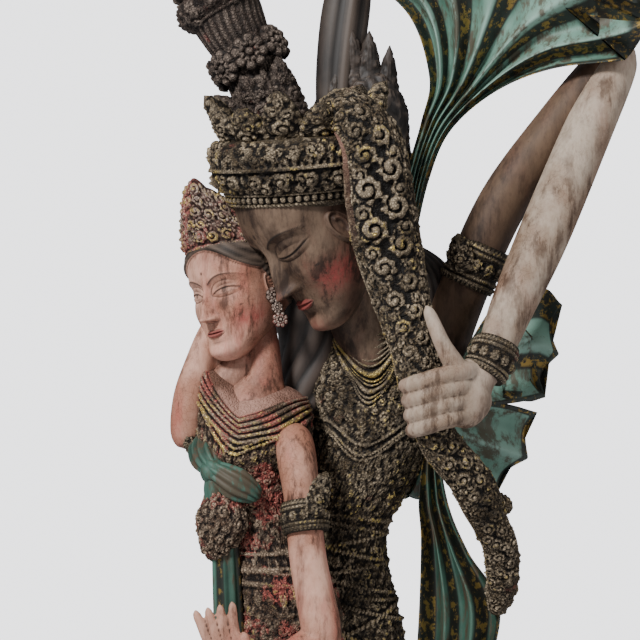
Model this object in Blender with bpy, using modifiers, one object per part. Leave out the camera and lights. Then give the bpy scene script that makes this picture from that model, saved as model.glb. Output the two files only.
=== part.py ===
# A carved wooden group: a prince bends over his consort, one arm raised, his fist closed
# round a carved sash. The two figures, their scarves and the low oval base are one block.
# The frame: X to the viewer's right, Y away from the viewer, Z up, origin under the base.

import math

import bmesh
import bpy
import numpy as np
from mathutils import Matrix, Vector

# Driving dimensions, in metres
FIGURE_HEIGHT = 1.088      # top of the base to the tip of the crown's finial
BASE_HEIGHT = 0.046
BASE_LENGTH = 0.324
BASE_DEPTH = 0.262
BASE_LOBES = 18            # carved petals round the base
SCARF_THICKNESS = 0.0085
SASH_THICKNESS = 0.017
CARVING_GRAIN = 0.0026     # smallest form that the chisel leaves in the solid
TRIANGLES = 9400           # faceting of the finished solid
FINE_TRIANGLES = 3200      # of these, on the faces and the hands

# The pose is drawn in carver's millimetres above the base, for a figure of this height
DRAWN_HEIGHT = 1088.0
SCALE = FIGURE_HEIGHT / DRAWN_HEIGHT

GREY_PAINTED_WOOD = (0.36, 0.29, 0.26, 1.0)

# Each head: origin on the ear axis at chin level, then the ways forward, left and up,
# and the height from chin to crown of the skull
PRINCE_HEAD = dict(
    origin=(14, 10, 775),
    forward=(-0.656, -0.411, -0.633),
    left=(0.452, -0.885, 0.106),
    up=(-0.604, -0.217, 0.767),
    height=150,
)
CONSORT_HEAD = dict(
    origin=(-80, 25, 722),
    forward=(-0.659, -0.732, -0.174),
    left=(0.711, -0.681, 0.171),
    up=(-0.2435, -0.0107, 0.970),
    height=111,
)
# His diadem sits level while the topknot leans with the head
DIADEM = dict(
    origin=(-44, -8, 843),
    forward=(-0.750, -0.650, -0.120),
    left=(0.655, -0.755, -0.055),
    up=(-0.080, -0.140, 0.987),
)
TOPKNOT = dict(
    origin=(6, 10, 766),
    forward=(-0.785, -0.423, -0.453),
    left=(0.366, -0.906, 0.212),
    up=(-0.5, 0.0, 0.866),
)

# Places whose small facets are kept, with how far they reach
FINE_PLACES = (
    ((-50, -25, 790), 60),
    ((-125, -15, 762), 60),
    ((58, -88, 690), 42),
    ((-112, -84, 505), 34),
)

pieces = []


def clear_scene():
    for item in list(bpy.data.objects):
        bpy.data.objects.remove(item, do_unlink=True)


def placed(x, y, z):
    """A drawn point, in metres above the ground."""
    return Vector((x * SCALE, y * SCALE, BASE_HEIGHT + z * SCALE))


def head_matrix(head):
    """Turns (forward, left, up) in drawn millimetres into a place in metres."""
    turn = Matrix((head["forward"], head["left"], head["up"])).transposed().to_4x4()
    return Matrix.Translation(placed(*head["origin"])) @ turn @ Matrix.Scale(SCALE, 4)


def eased(rows, count):
    """A smooth Catmull-Rom run of count rows through the given rows."""
    rows = np.asarray(rows, float)
    padded = np.vstack([2 * rows[0] - rows[1], rows, 2 * rows[-1] - rows[-2]])
    spot = np.linspace(0, len(rows) - 1 - 1e-9, count)
    i = spot.astype(int)
    t = (spot - i)[:, None]
    a, b, c, d = padded[i], padded[i + 1], padded[i + 2], padded[i + 3]
    return 0.5 * (2 * b + (c - a) * t + (2 * a - 5 * b + 4 * c - d) * t**2 + (3 * b - a - 3 * c + d) * t**3)


def keep(item):
    pieces.append(item)
    return item


def new_object(name, bm):
    mesh = bpy.data.meshes.new(name)
    bm.to_mesh(mesh)
    bm.free()
    item = bpy.data.objects.new(name, mesh)
    bpy.context.scene.collection.objects.link(item)
    return item


def closed_tube(name, rings):
    """A closed body through rings of points, each end capped by one face."""
    bm = bmesh.new()
    loops = [[bm.verts.new(point) for point in ring] for ring in rings]
    sides = len(loops[0])
    for low, high in zip(loops, loops[1:]):
        for k in range(sides):
            bm.faces.new((low[k], low[(k + 1) % sides], high[(k + 1) % sides], high[k]))
    bm.faces.new(loops[0][::-1])
    bm.faces.new(loops[-1])
    bmesh.ops.recalc_face_normals(bm, faces=bm.faces)
    return keep(new_object(name, bm))


def robe(name, rows, sides=72, steps=64, folds=0, fold_depth=0.0, fold_top=0.0):
    """Flat oval sections, rows of (x, y, z, half width, half depth); folds die out at fold_top."""
    rings = []
    for x, y, z, wide, deep in eased(rows, steps):
        fade = min(1.0, max(0.0, (fold_top - z) / 120.0)) if folds else 0.0
        ring = []
        for k in range(sides):
            angle = 2 * math.pi * k / sides
            swell = 1 + fold_depth * fade * math.cos(folds * angle)
            ring.append(placed(x + wide * swell * math.cos(angle), y + deep * swell * math.sin(angle), z))
        rings.append(ring)
    return closed_tube(name, rings)


def turned(name, rows, frame, sides=40, lobes=0, lobe_depth=0.0):
    """A body turned about the head's own axis: rows of (height, radius, shift forward)."""
    rings = []
    for height, radius, shift in rows:
        ring = []
        for k in range(sides):
            angle = 2 * math.pi * k / sides
            reach = radius * (1 + lobe_depth * math.cos(lobes * angle))
            ring.append(frame @ Vector((shift + reach * math.cos(angle), reach * math.sin(angle), height)))
        rings.append(ring)
    return closed_tube(name, rings)


def limb(name, rows):
    """A round limb as a bevelled curve, rows of (x, y, z, radius)."""
    curve = bpy.data.curves.new(name, "CURVE")
    curve.dimensions = "3D"
    curve.bevel_depth = SCALE
    curve.bevel_resolution = 3
    curve.use_fill_caps = True
    run = eased(rows, 4 * len(rows))
    spline = curve.splines.new("POLY")
    spline.points.add(len(run) - 1)
    for point, (x, y, z, radius) in zip(spline.points, run):
        point.co = (*placed(x, y, z), 1.0)
        point.radius = max(radius, 0.5)
    item = bpy.data.objects.new(name, curve)
    bpy.context.scene.collection.objects.link(item)
    return keep(item)


def ball(name, centre, radii, turn=None, frame=None):
    """An oval mass; turn orients it and frame places it in a head's own axes."""
    bm = bmesh.new()
    bmesh.ops.create_uvsphere(bm, u_segments=20, v_segments=12, radius=1.0)
    shape = (turn or Matrix.Identity(4)) @ Matrix.Diagonal((*radii, 1.0))
    if frame is None:
        spot = Matrix.Translation(placed(*centre)) @ Matrix.Scale(SCALE, 4)
    else:
        spot = frame @ Matrix.Translation(Vector(centre))
    bm.transform(spot @ shape)
    return keep(new_object(name, bm))


def facing(direction, roll_towards=(0, 0, 1)):
    """A rotation whose Z runs along direction and whose Y leans to roll_towards."""
    z = Vector(direction).normalized()
    x = Vector(roll_towards).cross(z)
    x = x.normalized() if x.length > 1e-6 else Vector((1, 0, 0))
    y = z.cross(x)
    return Matrix((x, y, z)).transposed().to_4x4()


def leaf(name, foot, direction, flat_side, length, width, thick, frame=None):
    """A pointed carved leaf: a flattened cone that rises from its foot."""
    bm = bmesh.new()
    bmesh.ops.create_cone(
        bm, cap_ends=True, segments=14, radius1=0.5, radius2=0.02, depth=1.0,
        matrix=Matrix.Translation((0, 0, 0.5)),
    )
    shape = facing(direction, flat_side) @ Matrix.Diagonal((width, thick, length, 1.0))
    if frame is None:
        spot = Matrix.Translation(placed(*foot)) @ Matrix.Scale(SCALE, 4)
    else:
        spot = frame @ Matrix.Translation(Vector(foot))
    bm.transform(spot @ shape)
    return keep(new_object(name, bm))


def ring(name, centre, direction, wide, deep, thick, roll_towards=(0, 0, 1), frame=None):
    """A band round a limb or a neck: a torus stretched to wide by deep."""
    bpy.ops.mesh.primitive_torus_add(
        major_segments=30, minor_segments=8, major_radius=1.0, minor_radius=thick / max(wide, deep)
    )
    item = bpy.context.object
    item.name = name
    shape = facing(direction, roll_towards) @ Matrix.Diagonal((wide, deep, max(wide, deep), 1.0))
    if frame is None:
        spot = Matrix.Translation(placed(*centre)) @ Matrix.Scale(SCALE, 4)
    else:
        spot = frame @ Matrix.Translation(Vector(centre))
    item.data.transform(spot @ shape)
    return keep(item)


def scarf(name, left, right, pleats, pleat_depth, steps=40, across=41, scallop=0.0):
    """Pleated cloth between a left and a right edge, rows of (x, y, z), given its thickness."""
    left, right = eased(left, steps), eased(right, steps)
    share = np.linspace(0, 1, across)
    run = np.linspace(0, 1, steps)[:, None]
    cloth = left[:, None, :] * (1 - share)[None, :, None] + right[:, None, :] * share[None, :, None]
    width = np.linalg.norm(right - left, axis=1)[:, None]
    wave = np.cos(2 * math.pi * pleats * share)[None, :]
    cloth[..., 1] += pleat_depth * wave * np.minimum(1.0, width / 60.0)
    along = np.gradient(cloth, axis=0)
    along /= np.linalg.norm(along, axis=2, keepdims=True)
    cloth += along * (scallop * wave * np.clip((run - 0.8) / 0.2, 0, 1))[..., None]
    bm = bmesh.new()
    grid = [[bm.verts.new(placed(*point)) for point in row] for row in cloth]
    for low, high in zip(grid, grid[1:]):
        for k in range(across - 1):
            bm.faces.new((low[k], low[k + 1], high[k + 1], high[k]))
    item = new_object(name, bm)
    solidify = item.modifiers.new("thickness", "SOLIDIFY")
    solidify.thickness = SCARF_THICKNESS
    solidify.offset = 0.0
    return keep(item)


# The head, in shares of its height: level, half width, front, back
SKULL = np.array([
    (-0.020, 0.050, 0.330, -0.230),
    (0.000, 0.100, 0.385, -0.180),
    (0.050, 0.165, 0.420, -0.100),
    (0.120, 0.222, 0.415, 0.020),
    (0.200, 0.266, 0.402, 0.160),
    (0.300, 0.300, 0.402, 0.290),
    (0.400, 0.325, 0.402, 0.365),
    (0.500, 0.338, 0.395, 0.410),
    (0.600, 0.342, 0.405, 0.435),
    (0.700, 0.338, 0.390, 0.435),
    (0.800, 0.316, 0.345, 0.395),
    (0.900, 0.250, 0.255, 0.300),
    (0.970, 0.140, 0.150, 0.165),
    (1.000, 0.010, 0.012, 0.010),
])


def bump(side, level, at_side, at_level, wide, high):
    """A soft swelling, 1 at its middle, on both sides of the face at once."""
    return np.exp(-(((np.abs(side) - at_side) / wide) ** 2) - ((level - at_level) / high) ** 2)


def face_relief(side, level):
    """How far the features stand forward, in shares of the head's height."""
    slope = np.clip((0.53 - level) / 0.215, 0, 1)
    under = 1 / (1 + np.exp(-(level - 0.290) / 0.006))
    ridge = (0.018 + 0.098 * slope) * np.exp(-(np.abs(side) / (0.030 + 0.014 * slope)) ** 2.4)
    ridge *= under * np.clip((0.60 - level) / 0.07, 0, 1)
    wings = 0.045 * bump(side, level, 0.055, 0.307, 0.026, 0.024)
    lips = (
        0.024 * bump(side, level, 0.0, 0.212, 0.085, 0.018)
        + 0.026 * bump(side, level, 0.0, 0.168, 0.068, 0.020)
    )
    mouth = -0.020 * bump(side, level - 0.8 * side**2, 0.0, 0.190, 0.100, 0.009)
    chin = (
        0.028 * bump(side, level, 0.0, 0.060, 0.090, 0.050)
        - 0.016 * bump(side, level, 0.0, 0.126, 0.080, 0.022)
    )
    sockets = -0.050 * bump(side, level, 0.130, 0.505, 0.090, 0.048)
    lids = 0.044 * bump(side, level, 0.150, 0.488, 0.068, 0.034)
    brows = 0.014 * bump(side, level, 0.130, 0.585, 0.110, 0.028)
    cheeks = 0.018 * bump(side, level, 0.215, 0.350, 0.100, 0.080)
    return ridge + wings + lips + mouth + chin + sockets + lids + brows + cheeks


def carve_head(name, head, rings=56, sides=72):
    """A skull of flattened oval sections with the face's relief pushed forward."""
    frame, tall = head_matrix(head), head["height"]
    body = []
    for level in np.linspace(SKULL[0, 0], SKULL[-1, 0], rings):
        wide, front, back = (np.interp(level, SKULL[:, 0], SKULL[:, n]) for n in (1, 2, 3))
        angle = 2 * np.pi * np.arange(sides) / sides
        soft = (np.abs(np.cos(angle)) ** 2.3 + np.abs(np.sin(angle)) ** 2.3) ** (-1 / 2.3)
        forward = (front - back) / 2 + (front + back) / 2 * soft * np.cos(angle)
        side = wide * soft * np.sin(angle)
        forward = forward + face_relief(side, level) * np.clip(np.cos(angle) * 3, 0, 1)
        body.append([frame @ Vector((f * tall, s * tall, level * tall)) for f, s in zip(forward, side)])
    return closed_tube(name, body)


def carve_prince_crown():
    """Flared diadem in two tiers, a crest of leaves, and the tall bound topknot."""
    frame = head_matrix(DIADEM)
    turned("diadem", [
        (-4, 46, 0), (-3, 55, 0), (3, 58, 0), (8, 60, 0), (16, 69, 0), (28, 74, 0), (38, 76, 0),
        (47, 75, 0), (50, 70, 0), (52, 56, 0), (60, 46, 0), (66, 30, 0), (70, 12, 0),
    ], frame, sides=80, lobes=20, lobe_depth=0.025)
    crest_count, rosette_count = 12, 8
    for n in range(crest_count):
        angle = 2 * math.pi * n / crest_count
        out = Vector((math.cos(angle), math.sin(angle), 0))
        tall = 40 if n % 2 else 34
        leaf(
            f"crest_leaf_{n}", Vector((0, 0, 46)) + out * 56, Vector((0, 0, 1)) + out * 0.42, out, tall, 38,
            20, frame
        )
    frame = head_matrix(TOPKNOT)
    turned("topknot", [
        (112, 30, -4), (150, 28, -7), (170, 27, -9), (188, 25, -11), (214, 23, -14), (242, 27, -16),
        (258, 31, -17), (263, 36, -18), (272, 37, -20), (277, 33, -22), (296, 34, -26), (314, 28, -31),
        (326, 15, -34), (334, 12, -36), (340, 14, -37), (348, 9, -39), (360, 2, -42),
    ], frame)
    for n in range(rosette_count):
        angle = 2 * math.pi * (n + 0.5) / rosette_count
        out = Vector((math.cos(angle), math.sin(angle), 0))
        spot = Vector((-14, 0, 214)) + out * 29
        ball(f"rosette_{n}", spot, (13, 13, 8), facing(out, (0, 0, 1)), frame)
        ball(f"rosette_heart_{n}", spot + out * 7, (5, 5, 4), facing(out, (0, 0, 1)), frame)
    for n in range(5):
        angle = math.radians(-110 + 55 * n)
        out = Vector((math.cos(angle), math.sin(angle), 0))
        leaf(
            f"topknot_leaf_{n}", Vector((-9, 0, 160)) + out * 24, Vector((0, 0, 1)) + out * 0.15, out, 44,
            30, 14, frame
        )
    ball("ear", (18, 50, 66), (11, 6, 15), frame=head_matrix(PRINCE_HEAD))


def carve_consort_tiara():
    """A low pointed tiara over hair combed back from the forehead, and the earring."""
    frame = head_matrix(CONSORT_HEAD)
    ball("combed_hair", (-4, 0, 66), (47, 42, 52), frame=frame)
    ball("hair_knot", (-44, 0, 72), (24, 27, 26), frame=frame)
    wall = []  # its height swells to the middle of the brow
    for angle in np.radians(np.linspace(-104, 104, 53)):
        out = Vector((math.cos(angle), math.sin(angle), 0))
        rise = 14 + 31 * max(0.0, math.cos(angle)) ** 2.2 + 4 * abs(math.cos(4.5 * angle))
        section = (
            (30, 82), (39, 82), (41, 86), (39, 90 + rise * 0.6), (36, 90 + rise), (32, 90 + rise),
            (30, 90 + rise * 0.6)
        )
        wall.append([
            frame @ (Vector((-3, 0, 0)) + out * radius + Vector((0, 0, level))) for radius, level in section
        ])
    closed_tube("tiara", wall)
    ring("tiara_rim", (-3, 0, 91), (0.05, 0, 1), 40, 42, 5, (0, 1, 0), frame)
    ball("earring", (4, 40, 30), (6, 6, 13), frame=frame)
    limb("plait", [
        (-46, 44, 764, 24), (-38, 48, 724, 26), (-44, 44, 684, 22), (-56, 38, 640, 15), (-64, 32, 596, 7)
    ])


def carve_prince_body():
    """Skirt, leaning torso, neck and the layered collars."""
    robe("prince_robe", [
        (14, 46, -8, 47, 43), (14, 46, 30, 40, 37), (13, 45, 160, 38, 36), (10, 42, 260, 40, 38),
        (2, 42, 380, 44, 41), (-6, 40, 480, 46, 42), (-9, 40, 528, 41, 35), (-6, 38, 572, 33, 28),
        (5, 37, 616, 42, 34), (14, 35, 658, 50, 38), (16, 32, 686, 47, 34), (16, 30, 704, 41, 30),
        (13, 27, 720, 33, 25), (8, 22, 734, 23, 20),
    ], folds=14, fold_depth=0.045, fold_top=470)
    limb("prince_neck", [(12, 26, 706, 25), (0, 20, 738, 23), (-12, 15, 768, 22), (-18, 12, 800, 22)])
    for n, (wide, drop) in enumerate(((29, 0), (37, 12), (45, 24))):
        ring(
            f"prince_collar_{n}", (10 + 2 * n, 24, 728 - drop), (-0.28, -0.42, 1), wide, wide * 0.82, 5,
            (0, 1, 0)
        )
    for n, z in enumerate((538, 552, 566)):
        ring(f"prince_girdle_{n}", (-8, 39, z), (0.05, 0, 1), 33 - 2 * n, 31 - 2 * n, 4.5, (0, 1, 0))
    tassel_count = 10
    for n in range(tassel_count):
        angle = 2 * math.pi * n / tassel_count
        spot = (-8 + 44 * math.cos(angle), 40 + 39 * math.sin(angle), 498)
        ball(f"prince_hip_scroll_{n}", spot, (9, 9, 13))
    robe("prince_front_cloth", [
        (2, 4, 60, 14, 7), (4, 4, 200, 13, 7), (0, 3, 350, 12, 7), (-4, 8, 500, 8, 4),
    ], sides=24, steps=24, folds=3, fold_depth=0.2, fold_top=600)


def carve_consort_body():
    """Skirt, slim waist, bust, collar, and the knotted sash with its falling ends."""
    robe("consort_robe", [
        (-62, 0, -8, 44, 41), (-62, 0, 30, 36, 34), (-62, 0, 160, 33, 32), (-62, -4, 260, 36, 35),
        (-60, 0, 380, 41, 40), (-57, 2, 490, 45, 42), (-61, 2, 530, 41, 38), (-80, 2, 588, 29, 25),
        (-86, 2, 622, 34, 28), (-87, 3, 652, 37, 30), (-82, 6, 676, 36, 24), (-77, 8, 694, 22, 17),
        (-76, 10, 704, 13, 12),
    ], folds=12, fold_depth=0.04, fold_top=430)
    limb("consort_neck", [(-74, 8, 686, 15), (-77, 12, 706, 13), (-84, 18, 736, 14)])
    ball("consort_left_breast", (-92, -24, 648), (17, 16, 17))
    ball("consort_right_breast", (-114, -4, 648), (16, 16, 17))
    ball("consort_raised_shoulder", (-113, 9, 684), (15, 15, 23))
    for n, (wide, drop) in enumerate(((21, 0), (29, 9), (38, 20))):
        ring(
            f"consort_collar_{n}", (-77 - 2 * n, 4, 697 - drop), (-0.4, -0.45, 1), wide, wide * 0.85, 4,
            (0, 1, 0)
        )
    ring("consort_sash", (-92, -2, 628), (-0.1, 0.1, 1), 35, 31, 7, (0, 1, 0))
    ball("consort_sash_knot", (-119, -22, 629), (9, 8, 8))
    ball("consort_girdle_bow", (-106, -22, 584), (18, 14, 16))
    ball("consort_girdle_tail", (-112, -24, 566), (12, 11, 16))
    robe("consort_front_cloth", [
        (-98, -28, 70, 15, 8), (-98, -28, 200, 13, 7), (-101, -26, 400, 11, 7), (-107, -24, 580, 9, 6),
    ], sides=24, steps=30, folds=3, fold_depth=0.22, fold_top=700)


def carve_arms():
    """The prince's raised arm and fist, his arm round her back, and her two arms."""
    ball("prince_left_shoulder", (62, 18, 706), (26, 24, 27))
    ball("prince_right_shoulder", (-14, 50, 690), (30, 26, 30))
    limb("prince_upper_arm", [
        (66, 18, 712, 21), (90, 10, 774, 20), (117, 4, 842, 20), (163, 0, 908, 18.5), (203, 0, 958, 17)
    ])
    limb("prince_forearm", [
        (204, 0, 960, 17), (178, -18, 892, 19.5), (142, -42, 812, 20), (115, -58, 754, 17.5),
        (95, -72, 710, 13.5)
    ])
    ball("prince_elbow", (203, 0, 961), (17, 17, 17))
    ring("prince_armband_low", (95, 9, 786), (0.35, -0.05, 1), 21, 21, 5)
    ring("prince_armband_high", (104, 7, 808), (0.35, -0.05, 1), 21, 21, 5)
    leaf("prince_armband_leaf", (87, -6, 790), (0.1, -0.1, 1), (-0.3, -1, 0), 38, 24, 12)
    ring("prince_bracelet_high", (101, -69, 722), (0.45, 0.4, 1), 17, 17, 5)
    ring("prince_bracelet_low", (93, -73, 706), (0.45, 0.4, 1), 16, 16, 5)
    ball("prince_palm", (74, -80, 690), (21, 14, 25), facing((0.2, 0, 1)))
    for n in range(4):
        x, z = 6 * n, 11.0 * n
        limb(f"prince_finger_{n}", [
            (80, -86, 704 - z, 7.5), (62, -95, 701 - z, 7), (42 + x * 0.5, -95, 697 - z, 6.6),
            (31 + x, -88, 694 - z, 5.5), (32 + x, -80, 692 - z, 5)
        ])
    limb("prince_thumb", [(72, -86, 704, 8), (62, -91, 722, 6.5), (54, -90, 738, 5.5), (49, -88, 750, 4)])
    limb("prince_hidden_arm", [
        (4, 60, 700, 19), (-20, 78, 660, 16), (-62, 74, 616, 14), (-98, 50, 590, 12), (-112, 34, 586, 10)
    ])
    ball("prince_hidden_hand", (-116, 26, 586), (11, 15, 9))
    ball("consort_left_shoulder", (-50, -26, 652), (17, 16, 18))
    limb("consort_left_upper_arm", [
        (-52, -24, 656, 16), (-47, -38, 620, 14), (-41, -50, 560, 14.5), (-31, -56, 504, 15.5)
    ])
    ball("consort_left_elbow", (-31, -57, 500), (16, 15, 15))
    limb("consort_left_forearm", [(-31, -57, 499, 15), (-59, -68, 486, 12.5), (-85, -78, 478, 10)])
    ring("consort_left_armband_low", (-43, -46, 578), (0.1, -0.12, 1), 16, 16, 4.5)
    ring("consort_left_armband_high", (-44, -44, 594), (0.1, -0.12, 1), 16, 16, 4.5)
    leaf("consort_left_armband_leaf", (-38, -56, 586), (0.25, -0.1, 1), (0, -1, 0), 34, 22, 10)
    ball("consort_left_palm", (-98, -82, 486), (17, 9, 12), facing((-0.5, 0, 1)))
    for n in range(4):
        limb(f"consort_left_finger_{n}", [
            (-104 + 4 * n, -84, 492, 5.5), (-112 + 6 * n, -86, 508, 4.8), (-118 + 9 * n, -86, 526, 3.6)
        ])
    ball("consort_right_shoulder", (-116, 20, 668), (16, 16, 16))
    limb("consort_right_upper_arm", [(-114, 22, 668, 15), (-130, 18, 662, 13), (-141, 12, 655, 12)])
    ball("consort_right_elbow", (-142, 12, 656), (13, 14, 14))
    limb("consort_right_forearm", [
        (-142, 12, 657, 13), (-140, 8, 684, 13), (-132, 12, 712, 11), (-123, 20, 736, 9), (-112, 26, 752, 8)
    ])
    ball("consort_right_armband", (-138, 16, 646), (11, 12, 8))


def carve_sash():
    """The carved sash that runs from the crown through the fist down to the scarf's corner."""
    path = eased([
        (-22, -66, 900, 14), (-9, -74, 899, 18), (7, -74, 877, 23), (13, -71, 838, 25), (20, -69, 800, 24),
        (30, -71, 761, 20), (39, -76, 727, 17), (44, -80, 697, 15), (50, -81, 674, 13.6),
        (60, -78, 651, 13.5), (80, -68, 627, 14), (92, -58, 606, 14.5), (100, -50, 588, 12.5),
        (108, -40, 570, 12), (111, -30, 546, 11), (110, -20, 520, 9.5),
    ], 60)
    way = np.gradient(path[:, :3], axis=0)
    way /= np.linalg.norm(way, axis=1, keepdims=True)
    towards_viewer = np.array((0.12, -1.0, 0.0))
    across = np.cross(way, towards_viewer)
    across /= np.linalg.norm(across, axis=1, keepdims=True)
    out = np.cross(across, way)
    half_thick = SASH_THICKNESS / SCALE / 2
    rings = []
    for (x, y, z, wide), a, o in zip(path, across, out):
        centre = np.array((x, y, z))
        rings.append([
            placed(*(centre + a * wide * math.cos(t) + o * half_thick * math.sin(t)))
            for t in np.linspace(0, 2 * math.pi, 20, endpoint=False)
        ])
    closed_tube("sash", rings)
    for n, i in enumerate(range(2, 58, 3)):
        x, y, z, wide = path[i]
        if 652 < z < 704:
            continue
        spot = np.array((x, y, z)) + across[i] * wide * (0.5 if n % 2 else -0.5) + out[i] * half_thick * 0.7
        size = 0.42 * wide
        ball(f"sash_scroll_{n}", spot, (size, size, 7), facing(out[i], way[i]))
    leaf("sash_spur", (94, -52, 604), (1.0, 0.1, -0.3), (0, -1, 0), 21, 18, 14)


def carve_scarves():
    """The long scarf: a fan flying up behind the shoulder, a bunch at the wrist, a tail below."""
    scarf(
        "flying_scarf",
        [
            (31, 22, 790), (34, 22, 807), (38, 19, 860), (50, 14, 905), (57, 10, 942), (44, 8, 990),
            (-6, 6, 1032)
        ],
        [
            (46, 20, 790), (46, 20, 807), (57, 16, 858), (74, 9, 898), (108, 0, 930), (152, -8, 943),
            (206, -16, 946)
        ],
        5, 5, scallop=7
    )
    scarf("flying_scarf_spread",
          [(56, 12, 930), (50, 8, 984), (20, 6, 1030), (-6, 6, 1036)],
          [(80, 10, 905), (104, 2, 960), (126, -4, 1020), (140, -6, 1074)],
          4, 6, steps=30, scallop=7)
    scarf("flying_scarf_corner",
          [(80, 10, 905), (104, 2, 960), (126, -4, 1020), (140, -6, 1074)],
          [(84, 10, 906), (118, 0, 930), (160, -8, 944), (208, -16, 950)],
          4, 6, steps=30, scallop=7)
    scarf(
        "shoulder_scarf", [(30, 40, 700), (34, 34, 750), (35, 22, 800)],
        [(62, 36, 700), (58, 30, 750), (57, 20, 800)], 2, 3
    )
    scarf("back_scarf", [(20, 68, 700), (14, 70, 650), (30, 50, 600), (48, 24, 640)],
          [(50, 62, 700), (46, 62, 650), (52, 44, 600), (66, 18, 632)], 2, 3)
    scarf("wrist_scarf_high", [(66, -22, 690), (86, -20, 730), (112, -10, 768), (124, -4, 776)],
          [(64, -24, 672), (94, -28, 674), (120, -22, 678), (142, -16, 684)], 2, 5, scallop=4)
    scarf("wrist_scarf_rim", [(112, -10, 750), (130, -6, 766), (147, -8, 770), (157, -12, 760)],
          [(112, -20, 684), (124, -20, 682), (134, -16, 681), (142, -14, 683)], 2, 5, scallop=4)
    scarf("wrist_scarf_low", [(62, -20, 686), (88, -22, 684), (116, -15, 680), (138, -10, 672)],
          [(62, -20, 640), (80, -18, 625), (96, -12, 613), (108, -8, 606)], 2, 4, scallop=4)
    scarf(
        "hanging_scarf",
        [(53, 22, 640), (50, 20, 600), (52, 14, 568), (49, 6, 500), (42, 2, 420), (38, 0, 396)],
        [(64, 14, 640), (73, 6, 595), (88, 0, 560), (112, -12, 522), (104, -10, 470), (86, -4, 424)], 4, 5,
        scallop=6
    )


def carve_back_crest():
    """The standing crest behind the crown: a mass of hair, flame leaves and one tall folded plume,
    and his locks lying on the shoulder."""
    ball("nape_hair", (4, 24, 838), (38, 34, 56), facing((-0.25, 0, 1)))
    ball("shoulder_locks", (54, 30, 752), (23, 18, 44), facing((-0.25, 0, 1)))
    ball("crest_mass", (12, 28, 902), (24, 15, 54))
    for n, (x, z, tall, wide) in enumerate((
        (-4, 928, 54, 24), (8, 922, 58, 24), (22, 905, 62, 20), (30, 858, 44, 18), (-24, 908, 40, 22),
        (30, 832, 40, 18)
    )):
        leaf(f"crest_flame_{n}", (x, 28, z), (0.06 * (n - 1), 0.05, 1), (0, -1, 0), tall, wide, 15)
    limb("plume", [
        (-20, 32, 886, 14), (-17, 33, 940, 18), (-11, 36, 992, 19), (-3, 39, 1036, 14), (2, 40, 1066, 3)
    ])


def carve_feet():
    for n, (x, y) in enumerate(((-92, -34), (-104, -18), (-8, 2), (22, -2))):
        ball(f"foot_{n}", (x, y, 4), (10, 22, 9), Matrix.Rotation(math.radians(-38), 4, "Z"))


def carve_base():
    """Low oval base with a petal-lobed side, its top a little under the robes' hems."""
    # share of the height, share of the half size
    rows = ((-0.1, 0.93), (0.12, 0.95), (0.3, 1.0), (0.62, 0.99), (0.8, 0.93), (0.93, 0.9), (1.0, 0.86))
    sides = 8 * BASE_LOBES
    rings = []
    for level, reach in rows:
        lobe_depth = 0.022 if 0.1 < level < 0.8 else 0.0
        ring_points = []
        for k in range(sides):
            angle = 2 * math.pi * k / sides
            swell = reach * (1 + lobe_depth * abs(math.cos(BASE_LOBES * angle / 2)))
            x = BASE_LENGTH / 2 * swell * math.copysign(abs(math.cos(angle)) ** 0.86, math.cos(angle))
            y = BASE_DEPTH / 2 * swell * math.copysign(abs(math.sin(angle)) ** 0.86, math.sin(angle))
            ring_points.append(Vector((x, y, level * BASE_HEIGHT)))
        rings.append(ring_points)
    closed_tube("base", rings)


def in_fine_places(body):
    """Which vertices lie on the faces and the hands."""
    spots = np.array([vertex.co[:] for vertex in body.data.vertices])
    inside = np.zeros(len(spots), bool)
    for centre, reach in FINE_PLACES:
        inside |= np.linalg.norm(spots - np.array(placed(*centre)), axis=1) < reach * SCALE
    return inside


def facet(body, chosen, triangles):
    """Merges small facets among the chosen vertices until the body has so many triangles."""
    group = body.vertex_groups.new(name="chosen")
    group.add([int(k) for k in np.flatnonzero(chosen())], 1.0, "REPLACE")
    decimate = body.modifiers.new("facets", "DECIMATE")
    sides = sum(len(face.vertices) - 2 for face in body.data.polygons)
    decimate.ratio = triangles / sides
    decimate.use_collapse_triangulate = True
    decimate.vertex_group = "chosen"
    graph = bpy.context.evaluated_depsgraph_get()
    graph.update()
    body.data = bpy.data.meshes.new_from_object(body.evaluated_get(graph))
    body.modifiers.clear()
    body.vertex_groups.clear()


def fused(name, items):
    """All the carved masses as one closed body, faceted, and sawn flat at the ground."""
    graph = bpy.context.evaluated_depsgraph_get()
    block = bmesh.new()
    for item in items:
        mesh = bpy.data.meshes.new_from_object(item.evaluated_get(graph))
        mesh.transform(item.matrix_world)
        block.from_mesh(mesh)
        bpy.data.meshes.remove(mesh)
    for item in items:
        bpy.data.objects.remove(item, do_unlink=True)
    bmesh.ops.remove_doubles(block, verts=block.verts, dist=1e-7)
    body = new_object(name, block)
    remesh = body.modifiers.new("one_body", "REMESH")
    remesh.mode = "VOXEL"
    remesh.voxel_size = CARVING_GRAIN
    graph = bpy.context.evaluated_depsgraph_get()
    graph.update()
    body.data = bpy.data.meshes.new_from_object(body.evaluated_get(graph))
    body.modifiers.clear()
    fine_start = int(in_fine_places(body).sum()) * 2
    facet(body, lambda: ~in_fine_places(body), fine_start + TRIANGLES - FINE_TRIANGLES)
    facet(body, lambda: in_fine_places(body), TRIANGLES)
    solid = body.data
    bm = bmesh.new()
    bm.from_mesh(solid)
    cut = bmesh.ops.bisect_plane(
        bm, geom=bm.verts[:] + bm.edges[:] + bm.faces[:], plane_co=(0, 0, 0), plane_no=(0, 0, 1),
        clear_inner=True
    )
    rim = [part for part in cut["geom_cut"] if isinstance(part, bmesh.types.BMEdge)]
    bmesh.ops.contextual_create(bm, geom=rim)
    bmesh.ops.triangulate(bm, faces=bm.faces)
    bmesh.ops.recalc_face_normals(bm, faces=bm.faces)
    bm.to_mesh(solid)
    bm.free()
    return body


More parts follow.
